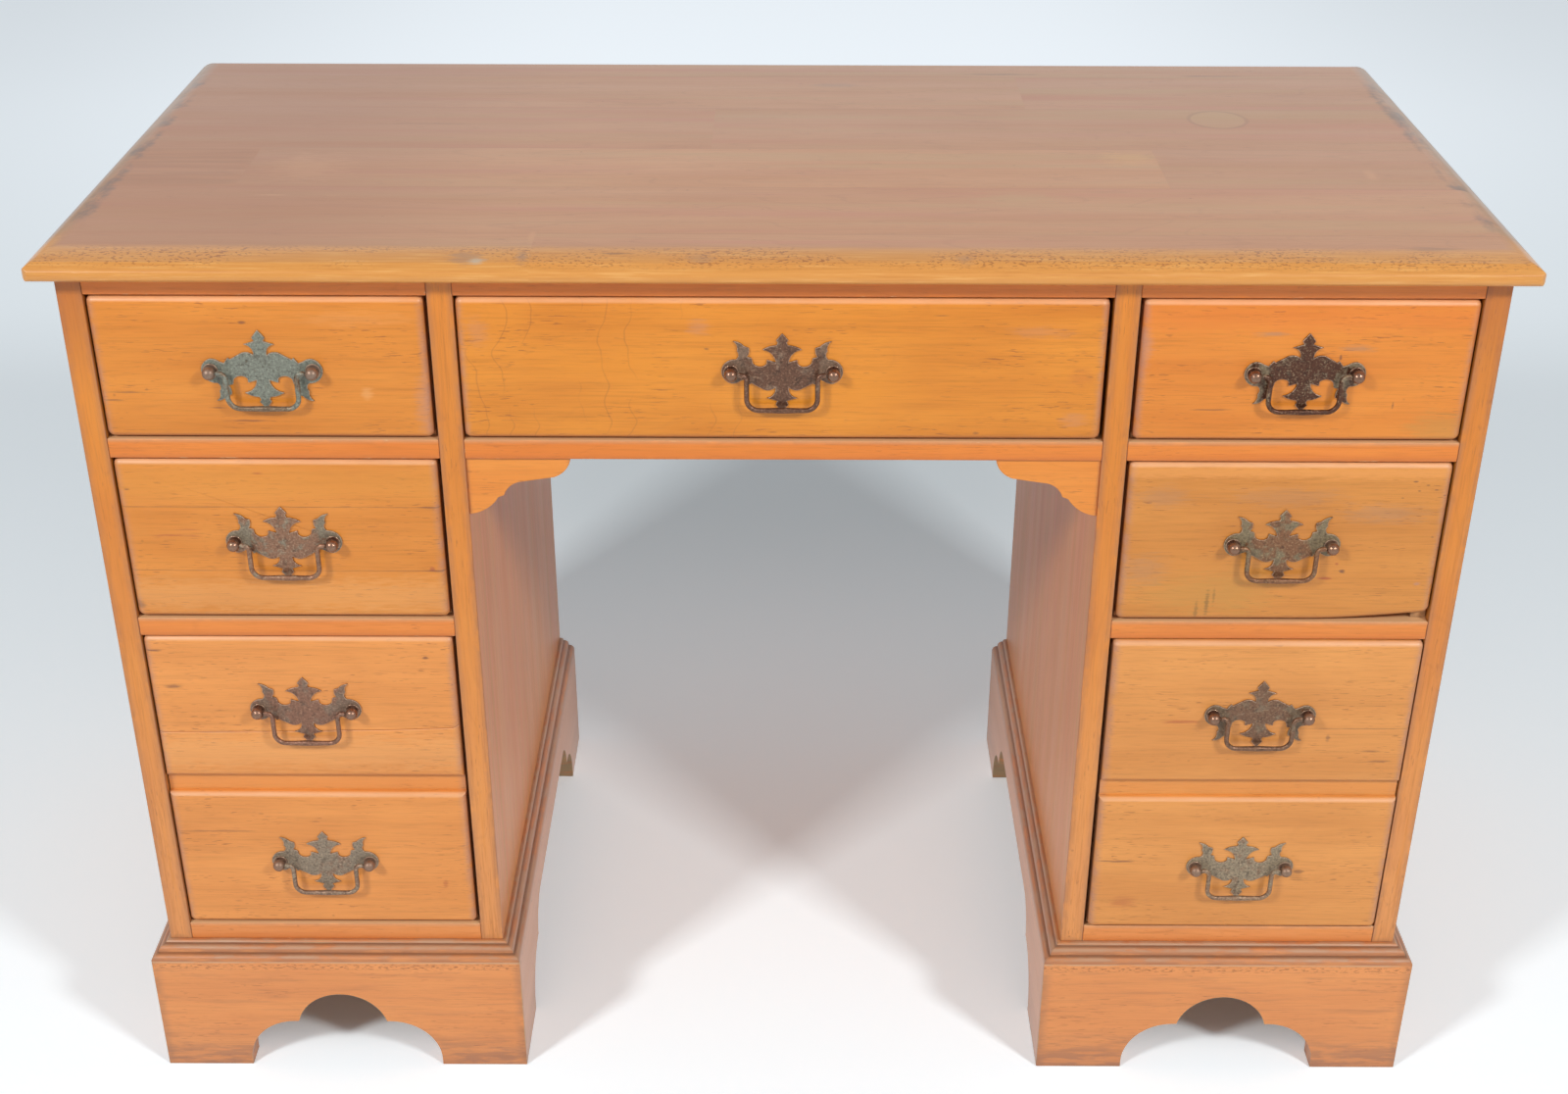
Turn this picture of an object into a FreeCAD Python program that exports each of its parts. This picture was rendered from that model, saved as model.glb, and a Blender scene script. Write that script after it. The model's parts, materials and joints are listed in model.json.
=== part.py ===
# A maple kneehole desk: two drawer pedestals on moulded bracket plinths, a drawer between them over the
# kneehole, and a thumb-moulded top. Millimetres, +Z up, front towards -Y. The origin lies on the floor
# under the middle of the top.
import FreeCAD
import Part
import Sketcher
import os
import re

doc = FreeCAD.newDocument("KneeholeDesk")
sizes = doc.addObject("Spreadsheet::Sheet", "Sizes")

# Driving dimensions: the word each is known by, its value, and what it measures
SIZES = [
    # Top
    ("top_thickness", 19, "top board"),
    ("side_overhang", 17, "top past the case at each side"),
    ("front_overhang", 20, "top past the case at the front"),
    ("rear_overhang", 5, "top past the case at the back"),
    ("thumb_width", 24, "width of the thumb moulding"),
    ("nose_radius", 6, "nose of the thumb moulding"),
    ("top_corner_radius", 9, "corners of the top in plan"),
    ("screw_cover", 9, "wood left over a top screw"),
    ("screw_radius", 2, "top screw's shank"),
    ("screw_head_radius", 4, "top screw's countersunk head"),
    ("screw_head_height", 3, "top screw's countersunk head"),
    ("screw_inset", 70, "end of a kicker to its screw"),
    # Case
    ("pedestal_width", 289, "over a pedestal's two sides"),
    ("case_depth", 505, "front face to back"),
    ("side_thickness", 19, "side panels"),
    ("knee_width", 484, "between the pedestals"),
    ("housing_depth", 6, "rail ends let into the sides"),
    ("housing_stop", 8, "side left whole in front of a rail's end"),
    ("back_thickness", 6, "pedestal back panels"),
    ("rabbet_depth", 9, "back panels let into the sides"),
    ("centre_back_thickness", 19, "rail behind the centre drawer"),
    ("rail_height", 16, "rails between the drawers"),
    ("rail_depth", 50, "rails, front to back"),
    ("bottom_rail_height", 17, "rail over the plinth"),
    ("first_opening", 116.5, "height of the top drawers' openings"),
    ("second_opening", 141.5, "height of the second drawers' openings"),
    ("deep_opening", 290, "height of the deep drawers' openings"),
    ("runner_width", 22, "runners and kickers"),
    # Plinth
    ("plinth_height", 130, "floor to case"),
    ("plinth_projection", 15, "plinth past the case"),
    ("plinth_seat", 7, "plinth under the case"),
    ("moulding_height", 15, "reeded top of the plinth"),
    ("foot_width", 75, "bracket feet"),
    ("foot_rise", 7, "upright edge of a foot's bracket"),
    ("cove_radius", 42.5, "quarter round of a foot's bracket"),
    ("ledge_width", 3.4, "step between cove and arch"),
    ("arch_top", 80, "floor to the top of the arch"),
    ("rear_plinth_thickness", 19, "board that closes the plinth"),
    ("rear_plinth_height", 70, "board that closes the plinth"),
    ("block_size", 30, "glue blocks, each way"),
    ("block_height", 60, "glue blocks"),
    # Kneehole brackets
    ("bracket_width", 80, "along the rail"),
    ("bracket_height", 48.5, "down the side"),
    ("bracket_thickness", 16, "bracket board"),
    ("bracket_setback", 2, "behind the face"),
    # Drawers
    ("front_thickness", 19, "drawer fronts"),
    ("front_side_gap", 1.5, "front to side panel"),
    ("drawer_shift", 1, "drawers off the middle of their bays"),
    ("front_gap", 1, "front to rail"),
    ("front_edge_radius", 6, "rounded edges and corners of a front"),
    ("false_rail_height", 16.4, "band that parts a deep front in two"),
    ("false_rail_recess", 6, "depth of that band"),
    ("drawer_back_space", 59, "drawer to the back panel"),
    ("box_thickness", 12, "drawer sides and back"),
    ("box_headroom", 8, "drawer side to the rail above"),
    ("running_clearance", 0.3, "drawer side over its runner"),
    ("joint_face", 8, "front left before the drawer sides' joints"),
    ("bottom_thickness", 5, "drawer bottom"),
    ("bottom_rise", 8, "drawer bottom over the sides' lower edge"),
    ("groove_depth", 5, "drawer bottom let into sides and front"),
    ("stop_length", 12, "drawer stops, front to back"),
    ("stop_width", 30, "drawer stops, across"),
    ("stop_height", 4, "drawer stops"),
    ("stop_clearance", 0.2, "drawer stop behind a front"),
    ("right_deep_proud", 3.5, "right deep drawer, left a little open"),
    # Pulls
    ("post_spacing", 76.2, "between the posts"),
    ("plate_height", 63.5, "back plate, tip to tip"),
    ("plate_thickness", 1.5, "back plate"),
    ("shank_radius", 2, "post through the front"),
    ("collar_radius", 5.8, "foot of a post"),
    ("collar_thickness", 1, "foot of a post"),
    ("neck_radius", 3, "neck of a post"),
    ("neck_length", 0.65, "neck of a post"),
    ("ball_radius", 5, "head of a post"),
    ("nut_radius", 4, "nut behind a front, over its corners"),
    ("nut_height", 3, "nut behind a front"),
    ("shank_tail", 1, "shank past its nut"),
    ("pull_drop", 1, "posts below the middle of a front"),
    # Bails
    ("bail_radius", 1.9, "rod"),
    ("bail_drop", 28.5, "axis to the lower bar"),
    ("bail_shoulder", 4.5, "bend at the top of a leg"),
    ("bail_corner", 9, "bend at the foot of a leg"),
    ("bail_end_length", 1.7, "straight from shoulder to post"),
    ("bail_end_gap", 0.5, "rod to ball"),
    ("grip_radius", 2.3, "swelling in the middle of the lower bar"),
    ("pin_radius", 1.3, "bail's end in its post"),
    ("pin_clearance", 0.1, "round that pin"),
    ("pin_past", 2, "pin past the ball's middle"),
]
for row, (word, size, measures) in enumerate(SIZES, start=1):
    sizes.set(f"A{row}", measures)
    sizes.set(f"B{row}", str(size))
    sizes.setAlias(f"B{row}", word)
doc.recompute()
WORDS = {word for word, size, measures in SIZES}


# Binding sizes and places to the sheet

def on_sheet(expression):
    """The expression with the sheet named before each of its words."""
    def name_sheet(found):
        return f"Sizes.{found[0]}" if found[0] in WORDS else found[0]

    return re.sub(r"[a-z_]+", name_sheet, str(expression))


def value(expression):
    return float(sizes.evalExpression(on_sheet(expression)))


def bind(target, **expressions):
    for name, expression in expressions.items():
        target.setExpression(name, on_sheet(expression))


def place(target, x=0, y=0, z=0):
    bind(target, **{"Placement.Base.x": x, "Placement.Base.y": y, "Placement.Base.z": z})
    return target


def box(label, x, y, z, length, width, height):
    block = doc.addObject("Part::Box", label)
    bind(block, Length=length, Width=width, Height=height)
    return place(block, x, y, z)


def compound(label, pieces):
    group = doc.addObject("Part::Compound", label)
    group.Links = pieces
    return group


def cut(label, base, tool):
    piece = doc.addObject("Part::Cut", label)
    piece.Base, piece.Tool = base, tool
    return piece


def common(label, pieces):
    piece = doc.addObject("Part::MultiCommon", label)
    piece.Shapes = pieces
    return piece


def copy_of(label, master, x, y, z, turn=None):
    """A second place for a piece that is drawn once."""
    link = doc.addObject("App::Link", label)
    link.LinkedObject = master
    if turn:
        link.Placement = FreeCAD.Placement(FreeCAD.Vector(), turn)
    return place(link, x, y, z)


# Sketches: every corner of an outline is bound to the sheet

def constrain(sketch, constraints):
    """Adds constraints, each with the expression that drives it or None."""
    indices = sketch.addConstraint([constraint for constraint, expression in constraints])
    for index, (constraint, expression) in zip(indices, constraints):
        if expression is not None:
            bind(sketch, **{f"Constraints[{index}]": expression})


def pinned(geometry, position, x, y):
    """Holds a point at a distance from the sketch's origin, each way."""
    return [(Sketcher.Constraint(kind, -1, 1, geometry, position, value(expression)), expression)
            for kind, expression in (("DistanceX", x), ("DistanceY", y))]


def outline(sketch, corners, closed=True):
    """Lines and arcs. A corner is (x, y), with a third entry (x, y) that an arc to the next corner passes."""
    points = [FreeCAD.Vector(value(corner[0]), value(corner[1]), 0) for corner in corners]
    ends, held = [], []
    for start, end, corner in zip(points, points[1:] + points[:closed], corners):
        if len(corner) == 2:
            edge = sketch.addGeometry(Part.LineSegment(start, end))
        else:
            middle = FreeCAD.Vector(value(corner[2][0]), value(corner[2][1]), 0)
            edge = sketch.addGeometry(Part.Arc(start, middle, end))
            mark = sketch.addGeometry(Part.Point(middle), True)
            held += pinned(mark, 1, *corner[2])
            held.append((Sketcher.Constraint("PointOnObject", mark, 1, edge), None))
        first = 1 if sketch.getPoint(edge, 1).distanceToPoint(start) < 1e-6 else 2
        ends.append((edge, first, 3 - first))
    for corner, (edge, first, last) in zip(corners, ends):
        held += pinned(edge, first, corner[0], corner[1])
    for (edge, first, last), (after, after_first, after_last) in zip(ends, ends[1:] + ends[:closed]):
        held.append((Sketcher.Constraint("Coincident", edge, last, after, after_first), None))
    if not closed:
        held += pinned(ends[-1][0], ends[-1][2], corners[-1][0], corners[-1][1])
    constrain(sketch, held)


def circle(sketch, x, y, radius):
    centre = FreeCAD.Vector(value(x), value(y), 0)
    edge = sketch.addGeometry(Part.Circle(centre, FreeCAD.Vector(0, 0, 1), value(radius)))
    constrain(sketch, pinned(edge, 3, x, y) + [(Sketcher.Constraint("Radius", edge, value(radius)), radius)])


PLANE_TURNS = {
    "XY": FreeCAD.Rotation(),
    "XZ": FreeCAD.Rotation(FreeCAD.Vector(1, 0, 0), 90),
    "YZ": FreeCAD.Rotation(FreeCAD.Vector(1, 1, 1), 120),
}


def extrusion(label, plane, corners, length, symmetric):
    """An outline drawn on a plane through the origin, and pushed out square to it."""
    sketch = doc.addObject("Sketcher::SketchObject", f"{label}_outline")
    sketch.Placement = FreeCAD.Placement(FreeCAD.Vector(), PLANE_TURNS[plane])
    outline(sketch, corners)
    solid = doc.addObject("Part::Extrusion", label)
    solid.Base = sketch
    solid.DirMode = "Normal"
    solid.Solid = True
    solid.Symmetric = symmetric
    bind(solid, LengthFwd=length)
    return solid


def body_sketch(body, label, plane, offset=None):
    """A sketch on one of a body's own origin planes, or at an offset in front of it."""
    sketch = body.newObject("Sketcher::SketchObject", label)
    origin_plane = [feature for feature in body.Origin.OriginFeatures if feature.Role == f"{plane}_Plane"][0]
    sketch.AttachmentSupport = [(origin_plane, "")]
    sketch.MapMode = "FlatFace"
    if offset:
        bind(sketch, **{"AttachmentOffset.Base.z": offset})
    return sketch


def pad(body, label, sketch, length):
    solid = body.newObject("PartDesign::Pad", label)
    solid.Profile = sketch
    bind(solid, Length=length)
    return solid


def rectangle(left, low, right, high):
    return [(left, low), (right, low), (right, high), (left, high)]


# Places that the pieces share, as sums of the driving dimensions
HALF_KNEE = "(knee_width / 2)"
HALF_CASE = f"({HALF_KNEE} + pedestal_width)"
BAY_IN = f"({HALF_KNEE} + side_thickness)"
BAY_OUT = f"({HALF_CASE} - side_thickness)"
BAY_WIDTH = f"({BAY_OUT} - {BAY_IN})"
BAY_MIDDLE = f"(({BAY_IN} + {BAY_OUT}) / 2)"
FACE = "((front_overhang - rear_overhang - case_depth) / 2)"
BACK = f"({FACE} + case_depth)"
RUNNER_START = f"({FACE} + rail_depth)"
DEEP_FLOOR = "(plinth_height + bottom_rail_height)"
DEEP_CEILING = f"({DEEP_FLOOR} + deep_opening)"
SECOND_FLOOR = f"({DEEP_CEILING} + rail_height)"
SECOND_CEILING = f"({SECOND_FLOOR} + second_opening)"
FIRST_FLOOR = f"({SECOND_CEILING} + rail_height)"
FIRST_CEILING = f"({FIRST_FLOOR} + first_opening)"
CASE_TOP = f"({FIRST_CEILING} + rail_height)"
CASE_HEIGHT = f"({CASE_TOP} - plinth_height)"
SIGNS = {"left": "-1", "right": "1"}


def low_x(side, near, far):
    """Left end of a piece that reaches from near to far, as measured from the middle of the desk."""
    return near if side == "right" else f"-{far}"


nodes = []


def node(piece):
    nodes.append(piece)
    return piece


# Rails: cut to the opening at the face, and let into stopped housings in the sides behind it

def rail(label, left, right, floor, height):
    stop = f"{FACE} + housing_stop"
    left_end, right_end = f"{left} - housing_depth", f"{right} + housing_depth"
    plan = [(left, FACE), (right, FACE), (right, stop), (right_end, stop), (right_end, RUNNER_START),
            (left_end, RUNNER_START), (left_end, stop), (left, stop)]
    return place(extrusion(label, "XY", plan, height, False), z=floor)


top_rails = []
side_rails = {}
for side in SIGNS:
    bay_left, bay_right = low_x(side, BAY_IN, BAY_OUT), low_x(side, BAY_OUT, BAY_IN)
    levels = (("bottom", "plinth_height", "bottom_rail_height"), ("lower", DEEP_CEILING, "rail_height"),
              ("upper", SECOND_CEILING, "rail_height"), ("top", FIRST_CEILING, "rail_height"))
    *lower_rails, top_rail = [rail(f"{side}_{level}_rail", bay_left, bay_right, floor, height)
                              for level, floor, height in levels]
    top_rails.append(top_rail)
    side_rails[side] = node(compound(f"{side}_drawer_rails", lower_rails))
top_rails.append(rail("centre_top_rail", f"-{HALF_KNEE}", HALF_KNEE, FIRST_CEILING, "rail_height"))
top_rails = node(compound("top_rails", top_rails))
centre_rail = node(rail("centre_drawer_rail", f"-{HALF_KNEE}", HALF_KNEE, SECOND_CEILING, "rail_height"))

# Backs: a thin panel behind each pedestal, a thick rail behind the centre drawer
centre_back = node(box("centre_back_rail", f"-({HALF_KNEE} + housing_depth)", f"{BACK} - centre_back_thickness",
                       SECOND_CEILING, "knee_width + 2 * housing_depth", "centre_back_thickness",
                       f"{CASE_TOP} - {SECOND_CEILING}"))
back_panels = []
for side in SIGNS:
    panel_in = f"({BAY_IN} - rabbet_depth)"
    panel_out = f"({BAY_OUT} + rabbet_depth)"
    panel_x = low_x(side, panel_in, panel_out)
    back_panels.append(node(box(f"{side}_back_panel", panel_x, f"{BACK} - back_thickness", "plinth_height",
                                f"{panel_out} - {panel_in}", "back_thickness", CASE_HEIGHT)))

# Sides: one board each, housed for the rails and rabbeted for the back
housed = compound("housed_pieces", [top_rails, centre_rail, centre_back, *side_rails.values(), *back_panels])
for side in SIGNS:
    for which, near, far in (("outer", BAY_OUT, HALF_CASE), ("inner", HALF_KNEE, BAY_IN)):
        board = box(f"{side}_{which}_board", low_x(side, near, far), FACE, "plinth_height",
                    "side_thickness", "case_depth", CASE_HEIGHT)
        node(cut(f"{side}_{which}_side", board, housed))

# Runners under the drawers and kickers over the top ones, along both walls of each bay
kickers = []
for side in SIGNS:
    run = f"{BACK} - back_thickness - {RUNNER_START}"
    walls = (("inner", BAY_IN, f"({BAY_IN} + runner_width)"),
             ("outer", f"({BAY_OUT} - runner_width)", BAY_OUT))
    runners = []
    for wall, near, far in walls:
        runner_x = low_x(side, near, far)
        for level, floor, height in (("bottom", "plinth_height", "bottom_rail_height"),
                                     ("lower", DEEP_CEILING, "rail_height"),
                                     ("upper", SECOND_CEILING, "rail_height")):
            runners.append(box(f"{side}_{level}_{wall}_runner", runner_x, RUNNER_START, floor,
                               "runner_width", run, height))
        kickers.append(box(f"{side}_{wall}_kicker", runner_x, RUNNER_START, FIRST_CEILING,
                           "runner_width", run, "rail_height"))
    node(compound(f"{side}_drawer_runners", runners))
centre_run = f"{BACK} - centre_back_thickness - {RUNNER_START}"
centre_runners = []
for side in SIGNS:
    runner_x = low_x(side, f"({HALF_KNEE} - runner_width)", HALF_KNEE)
    centre_runners.append(box(f"centre_{side}_runner", runner_x, RUNNER_START, SECOND_CEILING,
                              "runner_width", centre_run, "rail_height"))
    kickers.append(box(f"centre_{side}_kicker", runner_x, RUNNER_START, FIRST_CEILING,
                       "runner_width", centre_run, "rail_height"))
node(compound("centre_drawer_runners", centre_runners))

# Top screws: countersunk under the pedestals' kickers, up into the top
screw_head = doc.addObject("Part::Cone", "screw_head")
bind(screw_head, Radius1="screw_head_radius", Radius2="screw_radius", Height="screw_head_height")
screw_shank = doc.addObject("Part::Cylinder", "screw_shank")
bind(screw_shank, Radius="screw_radius", Height="rail_height + top_thickness - screw_cover")
screw = doc.addObject("Part::Fuse", "top_screw")
screw.Base, screw.Tool = screw_head, screw_shank
screws = []
for side in SIGNS:
    for wall, middle in (("inner", f"({BAY_IN} + runner_width / 2)"),
                         ("outer", f"({BAY_OUT} - runner_width / 2)")):
        for end, screw_y in (("front", f"{RUNNER_START} + screw_inset"),
                             ("rear", f"{BACK} - back_thickness - screw_inset")):
            screws.append(copy_of(f"{side}_{wall}_{end}_screw", screw,
                                  f"{SIGNS[side]} * {middle}", screw_y, FIRST_CEILING))
screws = node(compound("top_screws", screws))
node(cut("drawer_kickers", compound("kicker_blanks", kickers), screws))

# Top: where the moulded section from the front, the one from the side and the plan meet
HALF_TOP = f"({HALF_CASE} + side_overhang)"
HALF_TOP_DEPTH = "((case_depth + front_overhang + rear_overhang) / 2)"
ARC_SHARE = 0.7071


def moulded_section(half):
    """Flat below and round at the nose, which runs smoothly into a flatter arc up to the top face."""
    reach, rise = "(thumb_width - nose_radius)", "(top_thickness - nose_radius)"
    sweep = f"(({reach} ^ 2 + {rise} ^ 2 - nose_radius ^ 2) / (2 * ({rise} - nose_radius)))"
    lean_x, lean_z = (f"({part} / ({sweep} - nose_radius))" for part in (reach, f"({sweep} - {rise})"))
    to_lean = f"sqrt((1 + {lean_x}) ^ 2 + {lean_z} ^ 2)"
    from_lean = f"sqrt({lean_x} ^ 2 + ({lean_z} + 1) ^ 2)"
    corners = []
    for sign in ("1", "-1"):
        def nose(out, up):
            return f"{sign} * ({half} + ({out} - 1) * nose_radius)", f"(1 + {up}) * nose_radius"

        start, tip, end = nose(0, -1), nose(1, 0), nose(lean_x, lean_z)
        under = nose(ARC_SHARE, -ARC_SHARE)
        over = nose(f"(1 + {lean_x}) / {to_lean}", f"{lean_z} / {to_lean}")
        thumb_middle = (f"{sign} * ({half} - thumb_width + {sweep} * {lean_x} / {from_lean})",
                        f"top_thickness + {sweep} * (({lean_z} + 1) / {from_lean} - 1)")
        thumb_end = (f"{sign} * ({half} - thumb_width)", "top_thickness")
        if sign == "1":
            corners += [(*start, under), (*tip, over), (*end, thumb_middle), thumb_end]
        else:
            corners += [(*thumb_end, thumb_middle), (*end, over), (*tip, under), start]
    return corners


def rounded_plan(half_length, half_width, radius):
    corners = []
    inset = f"(1 - {ARC_SHARE}) * {radius}"
    quarters = (("1", "-1", True), ("1", "1", False), ("-1", "1", True), ("-1", "-1", False))
    for x_sign, y_sign, along_first in quarters:
        beside = (f"{x_sign} * ({half_length} - {radius})", f"{y_sign} * {half_width}")
        above = (f"{x_sign} * {half_length}", f"{y_sign} * ({half_width} - {radius})")
        middle = (f"{x_sign} * ({half_length} - {inset})", f"{y_sign} * ({half_width} - {inset})")
        start, end = (beside, above) if along_first else (above, beside)
        corners += [(*start, middle), end]
    return corners


top_plan = rounded_plan(HALF_TOP, HALF_TOP_DEPTH, "top_corner_radius")
top_blank = common("top_blank", [
    extrusion("top_across", "XZ", moulded_section(HALF_TOP), f"2 * {HALF_TOP_DEPTH}", True),
    extrusion("top_along", "YZ", moulded_section(HALF_TOP_DEPTH), f"2 * {HALF_TOP}", True),
    extrusion("top_plan", "XY", top_plan, "top_thickness", False),
])
place(top_blank, z=CASE_TOP)
node(cut("desk_top", top_blank, screws))

# Plinths: each board is where its end section, its plan with mitred ends and its elevation meet
PLINTH_THICKNESS = "(plinth_projection + plinth_seat)"
LEDGE_LEVEL = "(foot_rise + cove_radius)"

# The reeded moulding, from the face up to the case: shares of the projection and of the moulding's height
REEDS = [(1, 0), (1, 0.1, (0.9, 0.32)), (0.7, 0.42), (0.63, 0.42), (0.63, 0.5, (0.53, 0.72)),
         (0.33, 0.82), (0.26, 0.82), (0.26, 0.9), (0.16, 1)]


def plinth_section():
    def at(projection, height):
        return f"-{projection} * plinth_projection", f"plinth_height - (1 - {height}) * moulding_height"

    corners = [("plinth_seat", "0"), ("-plinth_projection", "0")]
    for projection, height, *through in REEDS:
        corners.append((*at(projection, height), *(at(*point) for point in through)))
    return corners + [("plinth_seat", "plinth_height")]


def plinth_elevation(length, arched):
    """Two bracket feet. Between their coves the edge steps up to an arch, or on a side to a long flat."""
    gap = f"({length} / 2 - foot_width)"
    cove_end = f"({gap} - cove_radius)"
    spring = f"({cove_end} - ledge_width)"
    rise = f"(arch_top - {LEDGE_LEVEL})"
    flat_end = f"({spring} - {rise})"
    cove_x = f"({gap} - (1 - {ARC_SHARE}) * cove_radius)"
    cove_z = f"(foot_rise + {ARC_SHARE} * cove_radius)"
    haunch_x = f"({spring} - (1 - {ARC_SHARE}) * {rise})"
    haunch_z = f"({LEDGE_LEVEL} + {ARC_SHARE} * {rise})"
    if arched:
        crown = [(f"-{spring}", LEDGE_LEVEL, ("0", "arch_top"))]
    else:
        crown = [(f"-{spring}", LEDGE_LEVEL, (f"-{haunch_x}", haunch_z)), (f"-{flat_end}", "arch_top"),
                 (flat_end, "arch_top", (haunch_x, haunch_z))]
    return [
        (f"-{length} / 2", "plinth_height"), (f"-{length} / 2", "0"), (f"-{gap}", "0"),
        (f"-{gap}", "foot_rise", (f"-{cove_x}", cove_z)), (f"-{cove_end}", LEDGE_LEVEL),
        *crown,
        (spring, LEDGE_LEVEL), (cove_end, LEDGE_LEVEL, (cove_x, cove_z)), (gap, "foot_rise"),
        (gap, "0"), (f"{length} / 2", "0"), (f"{length} / 2", "plinth_height"),
    ]


def plinth_board(label, length, mitred_low, mitred_high, arched):
    """A board along X with the case's face at y = 0 behind its moulding."""
    low = f"-{length} / 2" + (f" + {PLINTH_THICKNESS}" if mitred_low else "")
    high = f"{length} / 2" + (f" - {PLINTH_THICKNESS}" if mitred_high else "")
    plan = [(f"-{length} / 2", "-plinth_projection"), (f"{length} / 2", "-plinth_projection"),
            (high, "plinth_seat"), (low, "plinth_seat")]
    elevation = plinth_elevation(length, arched)
    return common(label, [
        extrusion(f"{label}_section", "YZ", plinth_section(), length, True),
        extrusion(f"{label}_plan", "XY", plan, "plinth_height", False),
        extrusion(f"{label}_elevation", "XZ", elevation, f"2 * {PLINTH_THICKNESS}", True),
    ])


def turned(piece, degrees):
    piece.Placement.Rotation = FreeCAD.Rotation(FreeCAD.Vector(0, 0, 1), degrees)
    return piece


blocks = []
for side in SIGNS:
    front_length = f"({HALF_CASE} - {HALF_KNEE} + 2 * plinth_projection)"
    side_length = "(case_depth + plinth_projection)"
    side_middle = f"({FACE} + (case_depth - plinth_projection) / 2)"
    outer_turn, inner_turn = (-90, 90) if side == "left" else (90, -90)
    front_board = plinth_board(f"{side}_plinth_front", front_length, True, True, True)
    place(front_board, f"{SIGNS[side]} * {BAY_MIDDLE}", FACE, 0)
    boards = [front_board]
    for which, turn, face in (("outer", outer_turn, HALF_CASE), ("inner", inner_turn, HALF_KNEE)):
        board = plinth_board(f"{side}_plinth_{which}", side_length, turn > 0, turn < 0, False)
        boards.append(place(turned(board, turn), f"{SIGNS[side]} * {face}", side_middle, 0))
    hollow_in = f"({HALF_KNEE} + plinth_seat)"
    hollow_out = f"({HALF_CASE} - plinth_seat)"
    rear_x = low_x(side, hollow_in, hollow_out)
    boards.append(box(f"{side}_plinth_rear", rear_x, f"{BACK} - rear_plinth_thickness",
                      "plinth_height - rear_plinth_height", f"{hollow_out} - {hollow_in}",
                      "rear_plinth_thickness", "rear_plinth_height"))
    node(compound(f"{side}_plinth", boards))
    for wall, near, far in (("inner", hollow_in, f"({hollow_in} + block_size)"),
                            ("outer", f"({hollow_out} - block_size)", hollow_out)):
        for end, block_y in (("front", f"{FACE} + plinth_seat"),
                             ("rear", f"{BACK} - rear_plinth_thickness - block_size")):
            blocks.append(box(f"{side}_{wall}_{end}_block", low_x(side, near, far), block_y,
                              "plinth_height - block_height", "block_size", "block_size", "block_height"))
node(compound("plinth_glue_blocks", blocks))

# Kneehole brackets: sawn boards in the corners under the centre rail
for side in SIGNS:
    def at(along, down):
        inwards = "-1" if side == "right" else "1"
        return f"{inwards} * {along} * bracket_width", f"-{down} * bracket_height"

    bracket = doc.addObject("PartDesign::Body", f"{side}_knee_bracket")
    sketch = body_sketch(bracket, f"{side}_bracket_outline", "XZ")
    outline(sketch, [at(0, 0), (*at(0, 1), at(0.17, 0.9)), at(0.285, 0.7), (*at(0.345, 0.66), at(0.4, 0.51)),
                     at(0.494, 0.426), (*at(0.83, 0.34), at(0.93, 0.24)), at(1, 0)])
    pad(bracket, f"{side}_bracket_board", sketch, "bracket_thickness")
    bracket_y = f"{FACE} + bracket_setback + bracket_thickness"
    node(place(bracket, f"{SIGNS[side]} * {HALF_KNEE}", bracket_y, SECOND_CEILING))

# Pull: a pierced back plate, two ball-headed posts with nuts behind the front, and a bail between the balls
HALF_SPACING = "(post_spacing / 2)"

# Right half of the plate from its upper tip round to the lower one: shares of the post spacing and of the
# plate's height. A third entry is a point that the curve to the next corner passes.
PLATE_HALF = [
    # finial and its leaf
    (0, 0.488), (0.06, 0.402), (0.043, 0.372), (0.056, 0.338, (0.114, 0.328)), (0.194, 0.282, (0.105, 0.231)),
    # barb and scallop
    (0.064, 0.123), (0.148, 0.157), (0.152, 0.103, (0.215, 0.07)), (0.286, 0.115), (0.297, 0.178),
    # ear
    (0.343, 0.191, (0.323, 0.245)), (0.323, 0.307), (0.37, 0.326, (0.412, 0.368)),
    (0.482, 0.39, (0.44, 0.326)), (0.441, 0.264, (0.425, 0.221)),
    # disc under the post
    (0.453, 0.159, (0.593, 0)), (0.493, -0.148, (0.448, -0.14)), (0.408, -0.114),
    # hook and lobe
    (0.362, -0.093), (0.32, -0.162), (0.3, -0.14), (0.198, -0.211, (0.135, -0.232)),
    # tail and its leaf
    (0.066, -0.195, (0.085, -0.287)), (0.152, -0.329), (0.045, -0.369), (0.064, -0.416), (0, -0.512),
]


def plate_outline():
    def at(sign, across, up):
        return f"{sign} * {across} * post_spacing", f"{up} * plate_height"

    right, left = [], []
    for (across, up, *through), after in zip(PLATE_HALF, PLATE_HALF[1:]):
        right.append((*at(1, across, up), *(at(1, *point) for point in through)))
        left.insert(0, (*at(-1, *after[:2]), *(at(-1, *point) for point in through)))
    return right + left


plate = doc.addObject("PartDesign::Body", "pull_plate")
plate_sketch = body_sketch(plate, "plate_outline", "XZ")
outline(plate_sketch, plate_outline())
for sign in SIGNS.values():
    circle(plate_sketch, f"{sign} * {HALF_SPACING}", "0", "shank_radius")
pad(plate, "plate_sheet", plate_sketch, "plate_thickness")

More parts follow.
